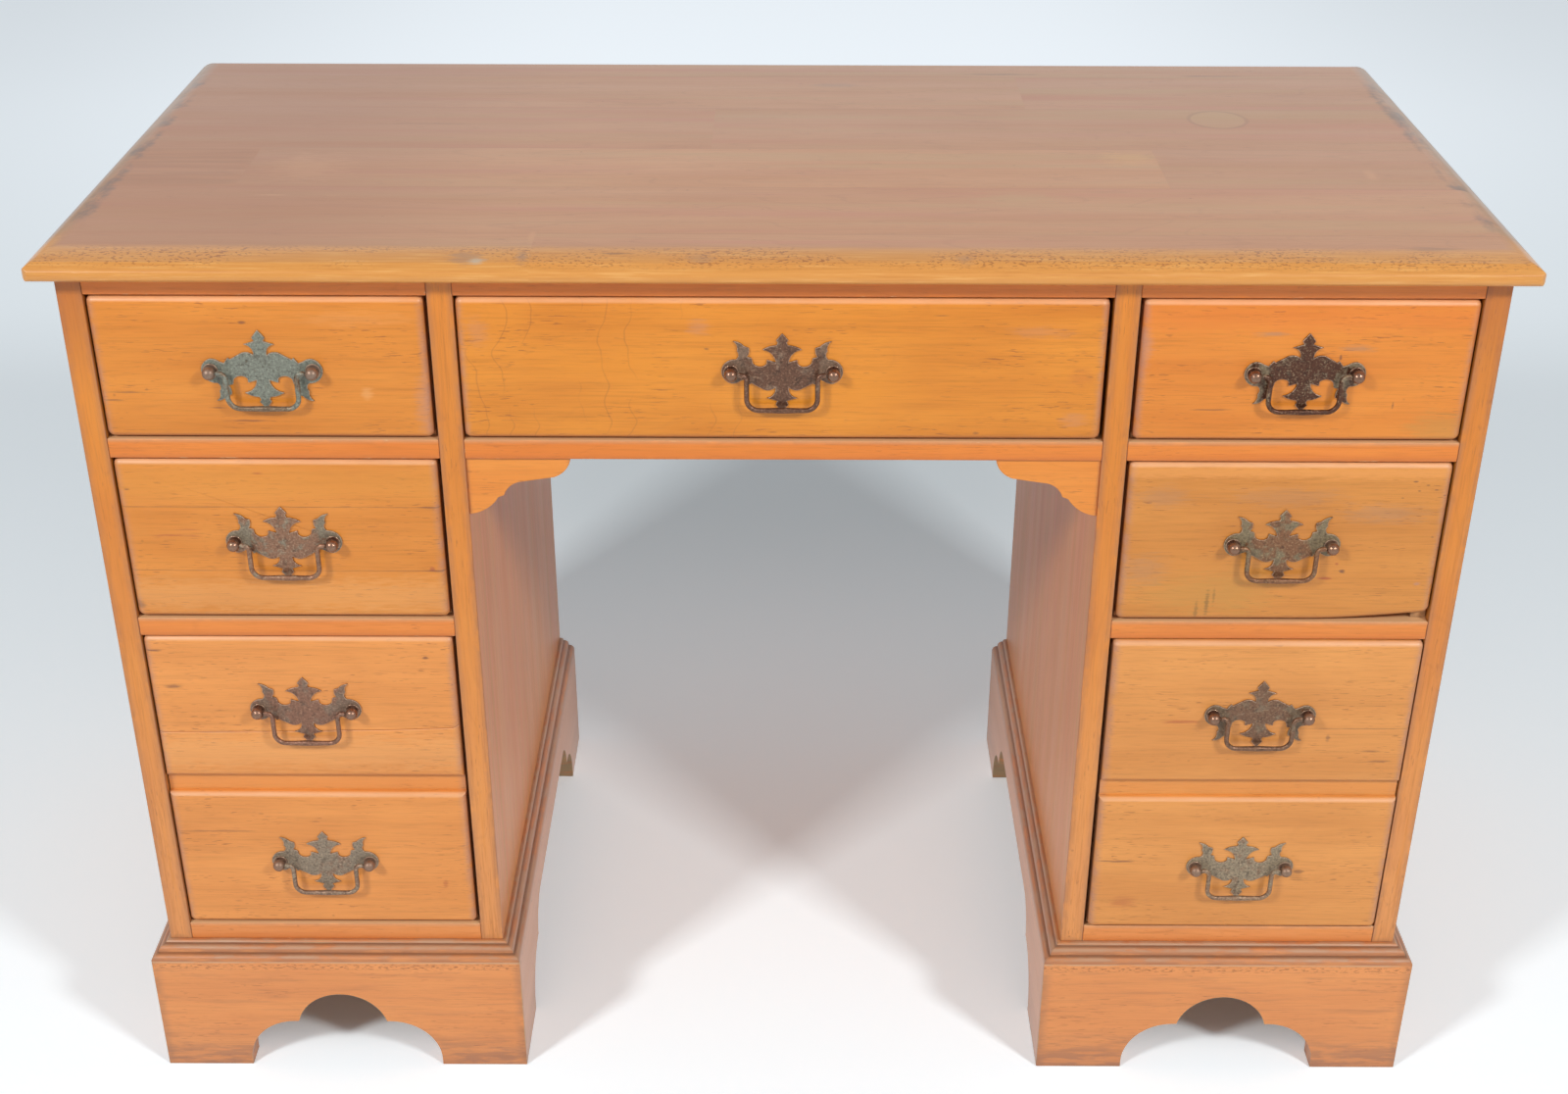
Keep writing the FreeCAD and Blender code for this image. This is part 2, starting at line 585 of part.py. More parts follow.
post_turning = doc.addObject("PartDesign::Body", "post_turning")
post_sketch = body_sketch(post_turning, "post_outline", "XY")
shank_end = "(front_thickness + nut_height + shank_tail)"
collar_face = "(plate_thickness + collar_thickness)"
ball_start = f"({collar_face} + neck_length)"
BAIL_AXIS = f"({ball_start} + sqrt(ball_radius ^ 2 - neck_radius ^ 2))"
outline(post_sketch, [
    ("0", shank_end), ("0", f"-({BAIL_AXIS} + ball_radius)", ("ball_radius", f"-{BAIL_AXIS}")),
    ("neck_radius", f"-{ball_start}"), ("neck_radius", f"-{collar_face}"),
    ("collar_radius", f"-{collar_face}"), ("collar_radius", "-plate_thickness"),
    ("shank_radius", "-plate_thickness"), ("shank_radius", shank_end),
])
turning = post_turning.newObject("PartDesign::Revolution", "post_revolution")
turning.Profile = post_sketch
turning.ReferenceAxis = (post_sketch, ["V_Axis"])
turning.Angle = 360
pin_hole = doc.addObject("Part::Cylinder", "pin_hole")
pin_hole.Placement.Rotation = FreeCAD.Rotation(FreeCAD.Vector(0, 1, 0), 90)
bind(pin_hole, Radius="pin_radius + pin_clearance", Height="pin_past + bail_end_gap + 2 * ball_radius")
place(pin_hole, "-(pin_past + bail_end_gap)", f"-{BAIL_AXIS}", 0)
post = cut("pull_post", post_turning, pin_hole)

nut_blank = doc.addObject("Part::Prism", "nut_blank")
nut_blank.Polygon = 6
bind(nut_blank, Circumradius="nut_radius", Height="nut_height")
nut_bore = doc.addObject("Part::Cylinder", "nut_bore")
bind(nut_bore, Radius="shank_radius", Height="nut_height")
nut = cut("post_nut", nut_blank, nut_bore)

bail_rod = doc.addObject("PartDesign::Body", "bail_rod")
rod_end = f"({HALF_SPACING} - ball_radius - bail_end_gap)"
bend_start = f"({rod_end} - bail_end_length)"
leg = f"({bend_start} - bail_shoulder)"
bar_end = f"({leg} - bail_corner)"
shoulder_x = f"({bend_start} - {ARC_SHARE} * bail_shoulder)"
shoulder_z = f"-(1 - {ARC_SHARE}) * bail_shoulder"
shoulder_end = "-bail_shoulder"
corner_x = f"({leg} - (1 - {ARC_SHARE}) * bail_corner)"
corner_z = f"-(bail_drop - (1 - {ARC_SHARE}) * bail_corner)"
corner_start = "-(bail_drop - bail_corner)"
bail_path = body_sketch(bail_rod, "bail_path", "XZ")
outline(bail_path, [
    (rod_end, "0"), (bend_start, "0", (shoulder_x, shoulder_z)),
    (leg, shoulder_end), (leg, corner_start, (corner_x, corner_z)),
    (bar_end, "-bail_drop"), (f"-{bar_end}", "-bail_drop", (f"-{corner_x}", corner_z)),
    (f"-{leg}", corner_start), (f"-{leg}", shoulder_end, (f"-{shoulder_x}", shoulder_z)),
    (f"-{bend_start}", "0"), (f"-{rod_end}", "0"),
], closed=False)
rod_section = body_sketch(bail_rod, "rod_section", "YZ", rod_end)
circle(rod_section, "0", "0", "bail_radius")
rod = bail_rod.newObject("PartDesign::AdditivePipe", "rod_pipe")
rod.Profile = rod_section
rod.Spine = (bail_path, [f"Edge{number}" for number in range(1, 10)])

ALONG_X = FreeCAD.Rotation(FreeCAD.Vector(0, 1, 0), 90)
GRIP_ROOT = 0.9
bail_pieces = [bail_rod]
pin_length = f"({HALF_SPACING} + pin_past - {bend_start})"
for side, pin_x in (("left", f"-({HALF_SPACING} + pin_past)"), ("right", bend_start)):
    pin = doc.addObject("Part::Cylinder", f"bail_{side}_pin")
    pin.Placement.Rotation = ALONG_X
    bind(pin, Radius="pin_radius", Height=pin_length)
    bail_pieces.append(place(pin, x=pin_x))
for side, grip_x, radii in (("left", f"-{bar_end}", (f"{GRIP_ROOT} * bail_radius", "grip_radius")),
                            ("right", "0", ("grip_radius", f"{GRIP_ROOT} * bail_radius"))):
    grip = doc.addObject("Part::Cone", f"bail_{side}_grip")
    grip.Placement.Rotation = ALONG_X
    bind(grip, Radius1=radii[0], Radius2=radii[1], Height=bar_end)
    bail_pieces.append(place(grip, x=grip_x, z="-bail_drop"))
bail = doc.addObject("Part::MultiFuse", "bail")
bail.Shapes = bail_pieces

UPSIDE_DOWN = FreeCAD.Rotation(FreeCAD.Vector(0, 1, 0), 180)
NUT_TURN = FreeCAD.Rotation(FreeCAD.Vector(1, 0, 0), -90)


def pull(label, x, face, z, inverted):
    """Plate, posts and nuts. The blind pin holes of the two posts face each other."""
    pieces = [copy_of(f"{label}_plate", plate, x, face, z, UPSIDE_DOWN if inverted else None)]
    for side, sign in SIGNS.items():
        post_x = f"{x} + {sign} * {HALF_SPACING}"
        post_turn = UPSIDE_DOWN if side == "right" else None
        pieces.append(copy_of(f"{label}_{side}_post", post, post_x, face, z, post_turn))
        pieces.append(copy_of(f"{label}_{side}_nut", nut, post_x, f"{face} + front_thickness", z, NUT_TURN))
    return pieces


# Drawers: a front, two sides lapped into it, a back that stands on the bottom, and a bottom in grooves

def rounded_over(edge, width, height):
    """Whether an edge lies in a front's face, or runs from the face to the back at a corner of the board."""
    first, last = (vertex.Point for vertex in edge.Vertexes)

    def at_corner(point):
        return abs(abs(point.x) - width / 2) < 1e-6 and abs(abs(point.z) - height / 2) < 1e-6

    in_face = all(abs(point.y + value("front_thickness")) < 1e-6 for point in (first, last))
    return in_face or abs(first.y - last.y) > 1e-6 and at_corner(first) and at_corner(last)


def drawer_front(label, width, height, split):
    """A board padded forwards from its back face. A deep front is two rounded fields over a sunk band."""
    front = doc.addObject("PartDesign::Body", label)
    left, right = f"-{width} / 2", f"{width} / 2"
    low, high = f"-{height} / 2", f"{height} / 2"
    board_sketch = body_sketch(front, f"{label}_outline", "XZ")
    outline(board_sketch, rectangle(left, low, right, high))
    radius = "front_edge_radius"
    if split:
        radius = "min(front_edge_radius; 0.9 * false_rail_recess)"
        base = "front_thickness - false_rail_recess"
        pad(front, f"{label}_base", board_sketch, base)
        field_sketch = body_sketch(front, f"{label}_fields", "XZ", base)
        outline(field_sketch, rectangle(left, "false_rail_height / 2", right, high))
        outline(field_sketch, rectangle(left, low, right, "-false_rail_height / 2"))
        board = pad(front, f"{label}_raised", field_sketch, "false_rail_recess")
    else:
        board = pad(front, f"{label}_board", board_sketch, "front_thickness")
    doc.recompute()
    rounding = front.newObject("PartDesign::Fillet", f"{label}_rounding")
    rounding.Base = (board, [f"Edge{number}" for number, edge in enumerate(board.Shape.Edges, start=1)
                             if rounded_over(edge, value(width), value(height))])
    bind(rounding, Radius=radius)
    return front


def drawer(name, middle, bay, floor, opening, pulls, split=False, proud="0"):
    width = f"({bay} - 2 * front_side_gap)"
    face = f"({FACE} - {proud})"
    front_back = f"({face} + front_thickness)"
    board = drawer_front(f"{name}_front_board", width, f"({opening} - 2 * front_gap)", split)
    place(board, middle, front_back, f"{floor} + {opening} / 2")

    side_low = f"({floor} + running_clearance)"
    side_high = f"({floor} + {opening} - box_headroom)"
    side_y = f"({face} + joint_face)"
    box_end = f"({face} + case_depth - back_thickness - drawer_back_space)"
    bottom_low = f"({side_low} + bottom_rise)"
    bottom_high = f"({bottom_low} + bottom_thickness)"
    inner_width = f"({width} - 2 * box_thickness)"
    bottom_y = f"({front_back} - groove_depth)"
    bottom = box(f"{name}_bottom", f"{middle} - {inner_width} / 2 - groove_depth", bottom_y, bottom_low,
                 f"{inner_width} + 2 * groove_depth", f"{box_end} - {bottom_y}", "bottom_thickness")
    blanks = [box(f"{name}_{side}_blank", side_x, side_y, side_low, "box_thickness", f"{box_end} - {side_y}",
                  f"{side_high} - {side_low}")
              for side, side_x in (("left", f"{middle} - {width} / 2"),
                                   ("right", f"{middle} + {width} / 2 - box_thickness"))]
    sides = [cut(f"{name}_{side}_side", blank, bottom) for side, blank in zip(SIGNS, blanks)]
    back = box(f"{name}_back", f"{middle} - {inner_width} / 2", f"{box_end} - box_thickness", bottom_high,
               inner_width, "box_thickness", f"{side_high} - {bottom_high}")

    hardware, bails = [], []
    for where, middle_rise, inverted in pulls:
        height = f"({floor} + {middle_rise} - pull_drop)"
        label = f"{name}_{where}" if where else name
        hardware += pull(f"{label}_pull", middle, face, height, inverted)
        bails.append(copy_of(f"{label}_bail", bail, middle, f"{face} - {BAIL_AXIS}", height))
    hardware = compound(f"{name}_pulls" if len(pulls) > 1 else f"{name}_pull", hardware)
    node(cut(f"{name}_front", board, compound(f"{name}_let_in", [*blanks, bottom, hardware])))
    node(compound(f"{name}_box", [*sides, back]))
    node(bottom)
    node(hardware)
    for piece in bails:
        node(piece)


FIRST_MIDDLE = "first_opening / 2"
SECOND_MIDDLE = "second_opening / 2"
UPPER_MIDDLE = "0.75 * deep_opening + false_rail_height / 4"
LOWER_MIDDLE = "0.25 * deep_opening - false_rail_height / 4"
# The pedestals' drawers have settled outwards and the centre one to the left
for side, sign in SIGNS.items():
    middle = f"({sign} * ({BAY_MIDDLE} + drawer_shift))"
    drawer(f"{side}_top_drawer", middle, BAY_WIDTH, FIRST_FLOOR, "first_opening", [("", FIRST_MIDDLE, True)])
    drawer(f"{side}_second_drawer", middle, BAY_WIDTH, SECOND_FLOOR, "second_opening",
           [("", SECOND_MIDDLE, False)])
    drawer(f"{side}_deep_drawer", middle, BAY_WIDTH, DEEP_FLOOR, "deep_opening",
           [("upper", UPPER_MIDDLE, side == "right"), ("lower", LOWER_MIDDLE, False)],
           split=True, proud="right_deep_proud" if side == "right" else "0")
drawer("centre_drawer", "(-drawer_shift)", "knee_width", FIRST_FLOOR, "first_opening", [("", FIRST_MIDDLE, False)])

# Drawer stops: small blocks on the rails, a third of the way in from each wall, that a front's back meets
stops = []
stop_y = f"{FACE} + front_thickness + stop_clearance"
bays = [("centre_drawer", "0", "knee_width", FIRST_FLOOR)]
for side, sign in SIGNS.items():
    for level, floor in (("top", FIRST_FLOOR), ("second", SECOND_FLOOR), ("deep", DEEP_FLOOR)):
        bays.append((f"{side}_{level}_drawer", f"{sign} * {BAY_MIDDLE}", BAY_WIDTH, floor))
for name, middle, bay, floor in bays:
    for side, sign in SIGNS.items():
        stop_x = f"{middle} + {sign} * {bay} / 6 - stop_width / 2"
        stops.append(box(f"{name}_{side}_stop", stop_x, stop_y, floor,
                         "stop_width", "stop_length", "stop_height"))
node(compound("drawer_stops", stops))

# Check every object and write each piece
doc.recompute()
failed = [item.Label for item in doc.Objects if "Invalid" in item.State or "Error" in item.State]
if failed:
    raise RuntimeError(f"not built: {failed}")
shapes = {piece.Label: Part.getShape(piece) for piece in nodes}
for label, shape in shapes.items():
    if shape.isNull() or not shape.isValid():
        raise RuntimeError(f"no sound solid: {label}")
os.makedirs("parts", exist_ok=True)
for label, shape in shapes.items():
    shape.exportStep(f"parts/{label}.step")
print(f"{len(shapes)} pieces, {sum(len(shape.Solids) for shape in shapes.values())} solids")
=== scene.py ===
import json
import math

import bmesh
import bpy
import numpy as np
from mathutils import Matrix, Vector

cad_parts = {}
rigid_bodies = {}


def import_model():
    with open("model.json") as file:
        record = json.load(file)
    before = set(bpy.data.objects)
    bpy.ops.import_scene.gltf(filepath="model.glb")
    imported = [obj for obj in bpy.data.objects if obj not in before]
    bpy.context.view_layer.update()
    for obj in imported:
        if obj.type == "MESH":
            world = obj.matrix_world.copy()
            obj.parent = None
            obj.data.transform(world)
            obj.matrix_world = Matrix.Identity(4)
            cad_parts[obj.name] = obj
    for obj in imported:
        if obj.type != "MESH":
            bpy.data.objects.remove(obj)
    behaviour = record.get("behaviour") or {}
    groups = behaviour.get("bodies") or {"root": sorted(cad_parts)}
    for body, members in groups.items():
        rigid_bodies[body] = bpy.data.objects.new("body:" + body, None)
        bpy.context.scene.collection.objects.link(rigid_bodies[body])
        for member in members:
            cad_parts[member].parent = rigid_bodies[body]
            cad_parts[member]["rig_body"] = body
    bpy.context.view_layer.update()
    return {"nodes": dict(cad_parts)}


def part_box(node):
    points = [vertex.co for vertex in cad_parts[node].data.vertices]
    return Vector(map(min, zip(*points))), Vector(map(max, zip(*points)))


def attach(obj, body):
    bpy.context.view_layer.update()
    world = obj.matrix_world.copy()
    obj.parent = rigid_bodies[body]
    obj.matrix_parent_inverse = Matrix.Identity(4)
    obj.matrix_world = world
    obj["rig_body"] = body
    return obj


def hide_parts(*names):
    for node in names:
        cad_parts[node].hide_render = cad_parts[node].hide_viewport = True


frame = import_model()

# Pedestal sides
# Four maple boards stand on end with their grain upright. The rails and runners are housed in them,
# and their front edges show between the drawers, stained amber and dotted with small dents.

MM = 0.001
FLAT_ANGLE = math.radians(0.3)
SHARP_ANGLE = math.radians(40)
TRUNK_SPREAD = 11.7
ARRIS = 0.7 * MM


def closed_runs(mesh):
    """Yields the triangles of one solid at a time: its run ends where every edge has met its other side."""
    run, unmet = [], set()
    for face in mesh.polygons:
        corners = [tuple(mesh.vertices[i].co) for i in face.vertices]
        if len(set(corners)) < 3:
            continue
        run.append(corners)
        for edge in zip(corners, corners[1:] + corners[:1]):
            if edge[::-1] in unmet:
                unmet.remove(edge[::-1])
            else:
                unmet.add(edge)
        if not unmet:
            yield run
            run = []


def board_numbers(mesh):
    """Gives each vertex the number of the loose board that it belongs to."""
    ends = np.zeros(2 * len(mesh.edges), np.int32)
    mesh.edges.foreach_get("vertices", ends)
    ends = ends.reshape(-1, 2)
    number = np.arange(len(mesh.vertices))
    while True:
        lowest = number[ends].min(axis=1)
        joined = number.copy()
        np.minimum.at(joined, ends[:, 0], lowest)
        np.minimum.at(joined, ends[:, 1], lowest)
        joined = joined[joined]
        if (joined == number).all():
            return number
        number = joined


def lay_grain(mesh, grain):
    """Stores where each vertex lies in its own board, along the grain first, and which trunk it came from."""
    places = np.zeros(3 * len(mesh.vertices), np.float32)
    mesh.vertices.foreach_get("co", places)
    places = places.reshape(-1, 3)
    board, half, trunk = np.zeros_like(places), np.zeros_like(places), np.zeros_like(places)
    numbers = board_numbers(mesh)
    for number in np.unique(numbers):
        own = numbers == number
        low, high = places[own].min(axis=0), places[own].max(axis=0)
        order = list(np.argsort(low - high))
        if grain is not None:
            order = [grain] + [axis for axis in order if axis != grain]
        middle = (low + high) / 2
        board[own] = (places[own] - middle)[:, order]
        half[own] = ((high - low) / 2)[order]
        trunk[own] = middle * TRUNK_SPREAD
    for name, values in (("board", board), ("half", half), ("trunk", trunk)):
        mesh.attributes.new(name, "FLOAT_VECTOR", "POINT").data.foreach_set("vector", values.ravel())


def eased(node, arris, grain=None, reshape=None, segments=2):
    """A copy of a node's solids with the outer edges rounded over, as sandpaper and handling leave them."""
    bm = bmesh.new()
    for run in closed_runs(frame["nodes"][node].data):
        made = {}
        for triangle in run:
            for corner in triangle:
                if corner not in made:
                    made[corner] = bm.verts.new(corner)
            bm.faces.new([made[corner] for corner in triangle])
    bm.normal_update()
    bmesh.ops.dissolve_limit(bm, angle_limit=FLAT_ANGLE, verts=bm.verts, edges=bm.edges)
    left_sharp = reshape(bm) if reshape else ()
    bm.normal_update()
    rounding = bm.edges.layers.float.new("bevel_weight_edge")
    for edge in bm.edges:
        if edge.is_convex and edge.calc_face_angle() > SHARP_ANGLE and edge not in left_sharp:
            edge[rounding] = 1.0
    mesh = bpy.data.meshes.new(f"{node}_eased")
    bm.to_mesh(mesh)
    bm.free()
    mesh.shade_smooth()
    mesh.set_sharp_from_angle(angle=SHARP_ANGLE)
    for _ in range(2):
        mesh.materials.append(None)
    piece = bpy.data.objects.new(f"{node}_eased", mesh)
    bpy.context.collection.objects.link(piece)
    bevel = piece.modifiers.new("arris", "BEVEL")
    bevel.width = arris
    bevel.segments = segments
    bevel.limit_method = "WEIGHT"
    bevel.use_clamp_overlap = False
    bevel.harden_normals = True
    bevel.material = 1
    evaluated = piece.evaluated_get(bpy.context.evaluated_depsgraph_get())
    rounded = bpy.data.meshes.new_from_object(evaluated)
    piece.modifiers.remove(bevel)
    piece.data = rounded
    on_arris = np.zeros(len(rounded.polygons), np.int32)
    rounded.polygons.foreach_get("material_index", on_arris)
    rounded.attributes.new("arris", "FLOAT", "FACE").data.foreach_set("value", on_arris.astype(np.float32))
    rounded.polygons.foreach_set("material_index", np.zeros_like(on_arris))
    rounded.materials.clear()
    lay_grain(rounded, grain)
    return piece


def fit(node, finish, arris=ARRIS, grain=None, reshape=None, segments=2):
    """Puts the eased copy in the node's place, on the node's own body."""
    piece = eased(node, arris, grain, reshape, segments)
    piece.data.materials.append(finish)
    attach(piece, frame["nodes"][node]["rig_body"])
    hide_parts(node)
    return piece


class Shade:
    """A socket of a material's tree. Sums on it add Math nodes, and node() adds any other kind."""

    def __init__(self, tree, socket=None):
        self.tree = tree
        self.socket = socket

    def node(self, kind, settings=None, sockets=None, output=0):
        made = self.tree.nodes.new(kind)
        for name, value in (settings or {}).items():
            setattr(made, name, value)
        for name, value in (sockets or {}).items():
            if isinstance(value, Shade):
                self.tree.links.new(value.socket, made.inputs[name])
            elif isinstance(value, list):
                for part in value:
                    self.tree.links.new(part.socket, made.inputs[name])
            else:
                made.inputs[name].default_value = value
        return Shade(self.tree, made.outputs[output] if made.outputs else None)

    def sum(self, operation, first, second=0.0):
        return self.node("ShaderNodeMath", {"operation": operation}, {0: first, 1: second})

    def __add__(self, other):
        return self.sum("ADD", self, other)

    def __sub__(self, other):
        return self.sum("SUBTRACT", self, other)

    def __rsub__(self, other):
        return self.sum("SUBTRACT", other, self)

    def __mul__(self, other):
        return self.sum("MULTIPLY", self, other)

    def __truediv__(self, other):
        return self.sum("DIVIDE", self, other)

    def __abs__(self):
        return self.sum("ABSOLUTE", self)

    __radd__ = __add__
    __rmul__ = __mul__


def stain(red, green, blue):
    """A colour as a paint chart gives it, made linear."""
    linear = [c / 12.92 if c <= 0.04045 else ((c + 0.055) / 1.055) ** 2.4 for c in
              (red / 255, green / 255, blue / 255)]
    return (*linear, 1.0)


def new_finish(name):
    material = bpy.data.materials.new(name)
    material.use_nodes = True
    material.node_tree.nodes.clear()
    return material, Shade(material.node_tree)


def part_of(vector, axis):
    return vector.node("ShaderNodeSeparateXYZ", sockets={0: vector}, output=axis)


def vector_sum(operation, first, second, output=0):
    return first.node("ShaderNodeVectorMath", {"operation": operation}, {0: first, 1: second}, output)


def stored(tree, name, output="Vector"):
    """What the mesh keeps under a name: the place in the board, half the board, the trunk or the arris."""
    return tree.node("ShaderNodeAttribute", {"attribute_name": name}, output=output)


def in_frame(tree):
    """The place of a point in the desk's own frame."""
    return tree.node("ShaderNodeTexCoord", output="Object")


def facing(tree, axis):
    """How squarely a face looks along an axis of the desk, from -1 to 1."""
    return part_of(tree.node("ShaderNodeNewGeometry", output="Normal"), axis)


def noise(at, size, detail=2.0, rough=0.5, warp=0.0):
    """Soft random values from 0 to 1 whose blotches have that size along each axis."""
    return at.node("ShaderNodeTexNoise", sockets={
        "Vector": vector_sum("DIVIDE", at, size), "Scale": 1.0, "Detail": detail, "Roughness": rough,
        "Distortion": warp})


def rise(value, low, high):
    """0 below low, 1 above high, with a soft step between."""
    return value.node("ShaderNodeMapRange", {"interpolation_type": "SMOOTHSTEP"},
                      {"Value": value, "From Min": low, "From Max": high})


def near(value, middle, full, gone):
    """1 within full of the middle and 0 past gone, with a soft step between."""
    return 1.0 - rise(abs(value - middle), full, gone)


def mix(factor, below, above):
    return factor.node("ShaderNodeMix", {"data_type": "RGBA"}, {0: factor, 6: below, 7: above}, 2)


def least(first, second):
    return first.sum("MINIMUM", first, second)


def greatest(first, second):
    return first.sum("MAXIMUM", first, second)


# Painted reflection of the pale floor, which makes the lower parts of a board paler and less saturated
FLOOR_SHEEN = stain(234, 168, 112)
SHEEN_HEIGHTS = (620 * MM, 100 * MM)
THREAD_SHARE = 0.72
COAT_ROUGHNESS = 0.26
# Marks in the wood, in metres along the grain, across it and through the board
BAND_SIZE = (0.5, 0.03, 0.03)
PATCH_SIZE = (0.11, 0.05, 0.05)
FIBRE_SIZE = (0.032, 0.0012, 0.0012)
RIBBON_SIZE = (0.13, 0.0046, 0.0046)
GROWTH_SIZE = (0.26, 0.042, 0.042)
CLUSTER_SIZE = (0.07, 0.018, 0.018)
FLECK_SIZE = (0.011, 0.0010, 0.0011)
STREAK_SIZE = (0.04, 0.0016, 0.0020)
SMEAR_SIZE = (0.022, 0.014, 0.014)
RUB_SIZE = (0.03, 0.01, 0.01)
GROWTH_LINES = 9.0
SOIL_REACH = 1.7
DENTS_PER_METRE = 30.0
DENT_REACH = (0.016, 0.05)
GRAIN_RELIEF = 0.4 * MM


def timber(name, pale, deep, pore, grime, rough=0.44, figure=0.25, fibre=0.42, pores=0.75, soiled=0.5,
           soil_width=7 * MM, dents=0.3, worn=0.4, worn_to=None, floor_sheen=0.0, varnish=0.3, shift=None,
           extra=None):
    """Finished wood. Everything is laid out in the board's own directions, so each board shows its own piece
    of the trunk: slow bands of tone, growth lines, ribbons and fibres, short dark pores, soil at its rim
    and dents."""
    thread = (*(THREAD_SHARE * part for part in deep[:3]), 1.0)
    material, start = new_finish(name)
    board, half = stored(start, "board"), stored(start, "half")
    wood = vector_sum("ADD", board, stored(start, "trunk"))
    if shift:
        wood = vector_sum("ADD", wood, shift(board))

    bands = rise(noise(wood, BAND_SIZE, 3.0, 0.5), 0.28, 0.72)
    patches = rise(noise(wood, PATCH_SIZE, 2.0, 0.5), 0.3, 0.7)
    fibres = noise(wood, FIBRE_SIZE, 3.0, 0.6)
    ribbons = noise(wood, RIBBON_SIZE, 3.0, 0.6)
    growth = noise(wood, GROWTH_SIZE, 1.0, 0.4, 0.3) * GROWTH_LINES
    line = 1.0 - rise(growth.sum("PINGPONG", growth, 0.5), 0.0, 0.07)
    near_end = rise(abs(part_of(board, 0)) / part_of(half, 0), 0.5, 1.0)
    clusters = rise(noise(wood, CLUSTER_SIZE, 2.0) + near_end * 0.1, 0.45, 0.65)
    flecks = rise(noise(wood, FLECK_SIZE, 1.0), 0.63, 0.72) * (clusters * 0.9 + 0.1)
    streaks = rise(noise(wood, STREAK_SIZE, 2.0, 0.6), 0.66, 0.8) * clusters

    colour = mix(bands * 0.55 + patches * 0.45, pale, deep)
    # Painted reflection of the pale floor, stronger towards the bottom
    if floor_sheen:
        colour = mix(rise(part_of(in_frame(start), 2), *SHEEN_HEIGHTS) * floor_sheen, colour, FLOOR_SHEEN)
    colour = mix(rise(fibres, 0.46, 0.74) * fibre, colour, thread)
    colour = mix(rise(ribbons, 0.5, 0.74) * (fibre * 0.65), colour, thread)
    colour = mix(rise(ribbons, 0.5, 0.26) * (fibre * 0.85), colour, pale)
    colour = mix(line * figure, colour, pore)
    colour = mix(flecks * pores, colour, pore)
    colour = mix(streaks * (pores * 0.5), colour, pore)

    along, across, through = (part_of(half, axis) - abs(part_of(board, axis)) for axis in range(3))
    across = across * SOIL_REACH
    edge = greatest(least(along, across), least(greatest(along, across), through))
    smears = noise(wood, SMEAR_SIZE, 3.0, 0.6)
    rim = 1.0 - rise(edge + (smears - 0.5) * (1.4 * soil_width), 0.0, soil_width)
    soil = rim * rise(smears, 0.25, 0.6)
    colour = mix(soil * soiled, colour, grime)

    cells = wood.node("ShaderNodeTexVoronoi", {"feature": "F1"}, {"Vector": wood, "Scale": DENTS_PER_METRE})
    pits = (1.0 - rise(cells, *DENT_REACH)) * dents
    colour = mix(pits, colour, pore)
    rubbed = stored(start, "arris", "Fac") * rise(noise(wood, RUB_SIZE, 2.0), 0.4, 0.6) * worn
    colour = mix(rubbed, colour, worn_to or grime)
    if extra:
        colour = extra(board, wood, colour)

    height = fibres * 0.5 - flecks * 0.8 - pits * 2.0
    bump = height.node("ShaderNodeBump", sockets={
        "Strength": 0.2, "Distance": GRAIN_RELIEF, "Height": height})
    roughness = bands * 0.06 + soil * 0.18 + fibres * 0.08 + (rough - 0.07)
    surface = start.node("ShaderNodeBsdfPrincipled", sockets={
        "Base Color": colour, "Roughness": roughness, "Specular IOR Level": 0.4, "Coat Weight": varnish,
        "Coat Roughness": COAT_ROUGHNESS, "Normal": bump})
    start.node("ShaderNodeOutputMaterial", sockets={"Surface": surface})
    return material


SIDE_PALE = stain(226, 140, 42)
SIDE_DEEP = stain(210, 120, 30)
SIDE_SHADED = stain(168, 94, 40)
OLIVE_STRIPE = stain(206, 144, 60)
PINK_STRIPE = stain(228, 138, 88)
POCKET_SHADE = stain(74, 46, 30)
PORE = stain(134, 68, 32)
GRIME = stain(150, 106, 84)
BAY_MIDDLE = 386.5 * MM
CENTRE_FLOOR = 610 * MM
STRIPE_SIZE = (1.4, 0.010, 0.010)
HEAD_HEIGHTS = (630 * MM, 730 * MM)
SHADE_STARTS = (-236 * MM, -215 * MM)
TO_BAY = (0.008, 0.016)
TO_MIDDLE = (-0.1, -0.15)


def case_sides(board, wood, colour):
    """Olive and pink stripes up the boards, a painted shadow of the top on the heads of the outer boards,
    and painted shade on the faces where the drawers run, which gives way to the stain near the front edge."""
    place = in_frame(board)
    x, z = part_of(place, 0), part_of(place, 2)
    sideways = facing(board, 0)
    broad = rise(abs(sideways), 0.5, 0.9)
    stripes = noise(wood, STRIPE_SIZE, 3.0, 0.65)
    colour = mix(rise(stripes, 0.5, 0.68) * broad * 0.5, colour, OLIVE_STRIPE)
    colour = mix(rise(stripes, 0.5, 0.32) * broad * 0.5, colour, PINK_STRIPE)
    outer = rise(abs(x), BAY_MIDDLE, BAY_MIDDLE + 1 * MM)
    # Painted shadow of the top's overhang on the heads of the outer boards.
    colour = mix(rise(z, *HEAD_HEIGHTS) * outer * 0.5, colour, SIDE_SHADED)
    # Painted shade on the faces that look into the drawer bays and the centre drawer's pocket; it is lighter
    # near the front edge, where the stain shows.
    outwards = sideways * x
    into_bay = rise(outwards * (BAY_MIDDLE - abs(x)), *TO_BAY)
    beside_centre = (1.0 - outer) * rise(z, CENTRE_FLOOR - 2 * MM, CENTRE_FLOOR)
    into_middle = rise(outwards, *TO_MIDDLE) * beside_centre
    shade_depth = rise(part_of(place, 1), *SHADE_STARTS) * 0.6 + 0.3
    return mix(greatest(into_bay, into_middle) * shade_depth, colour, POCKET_SHADE)


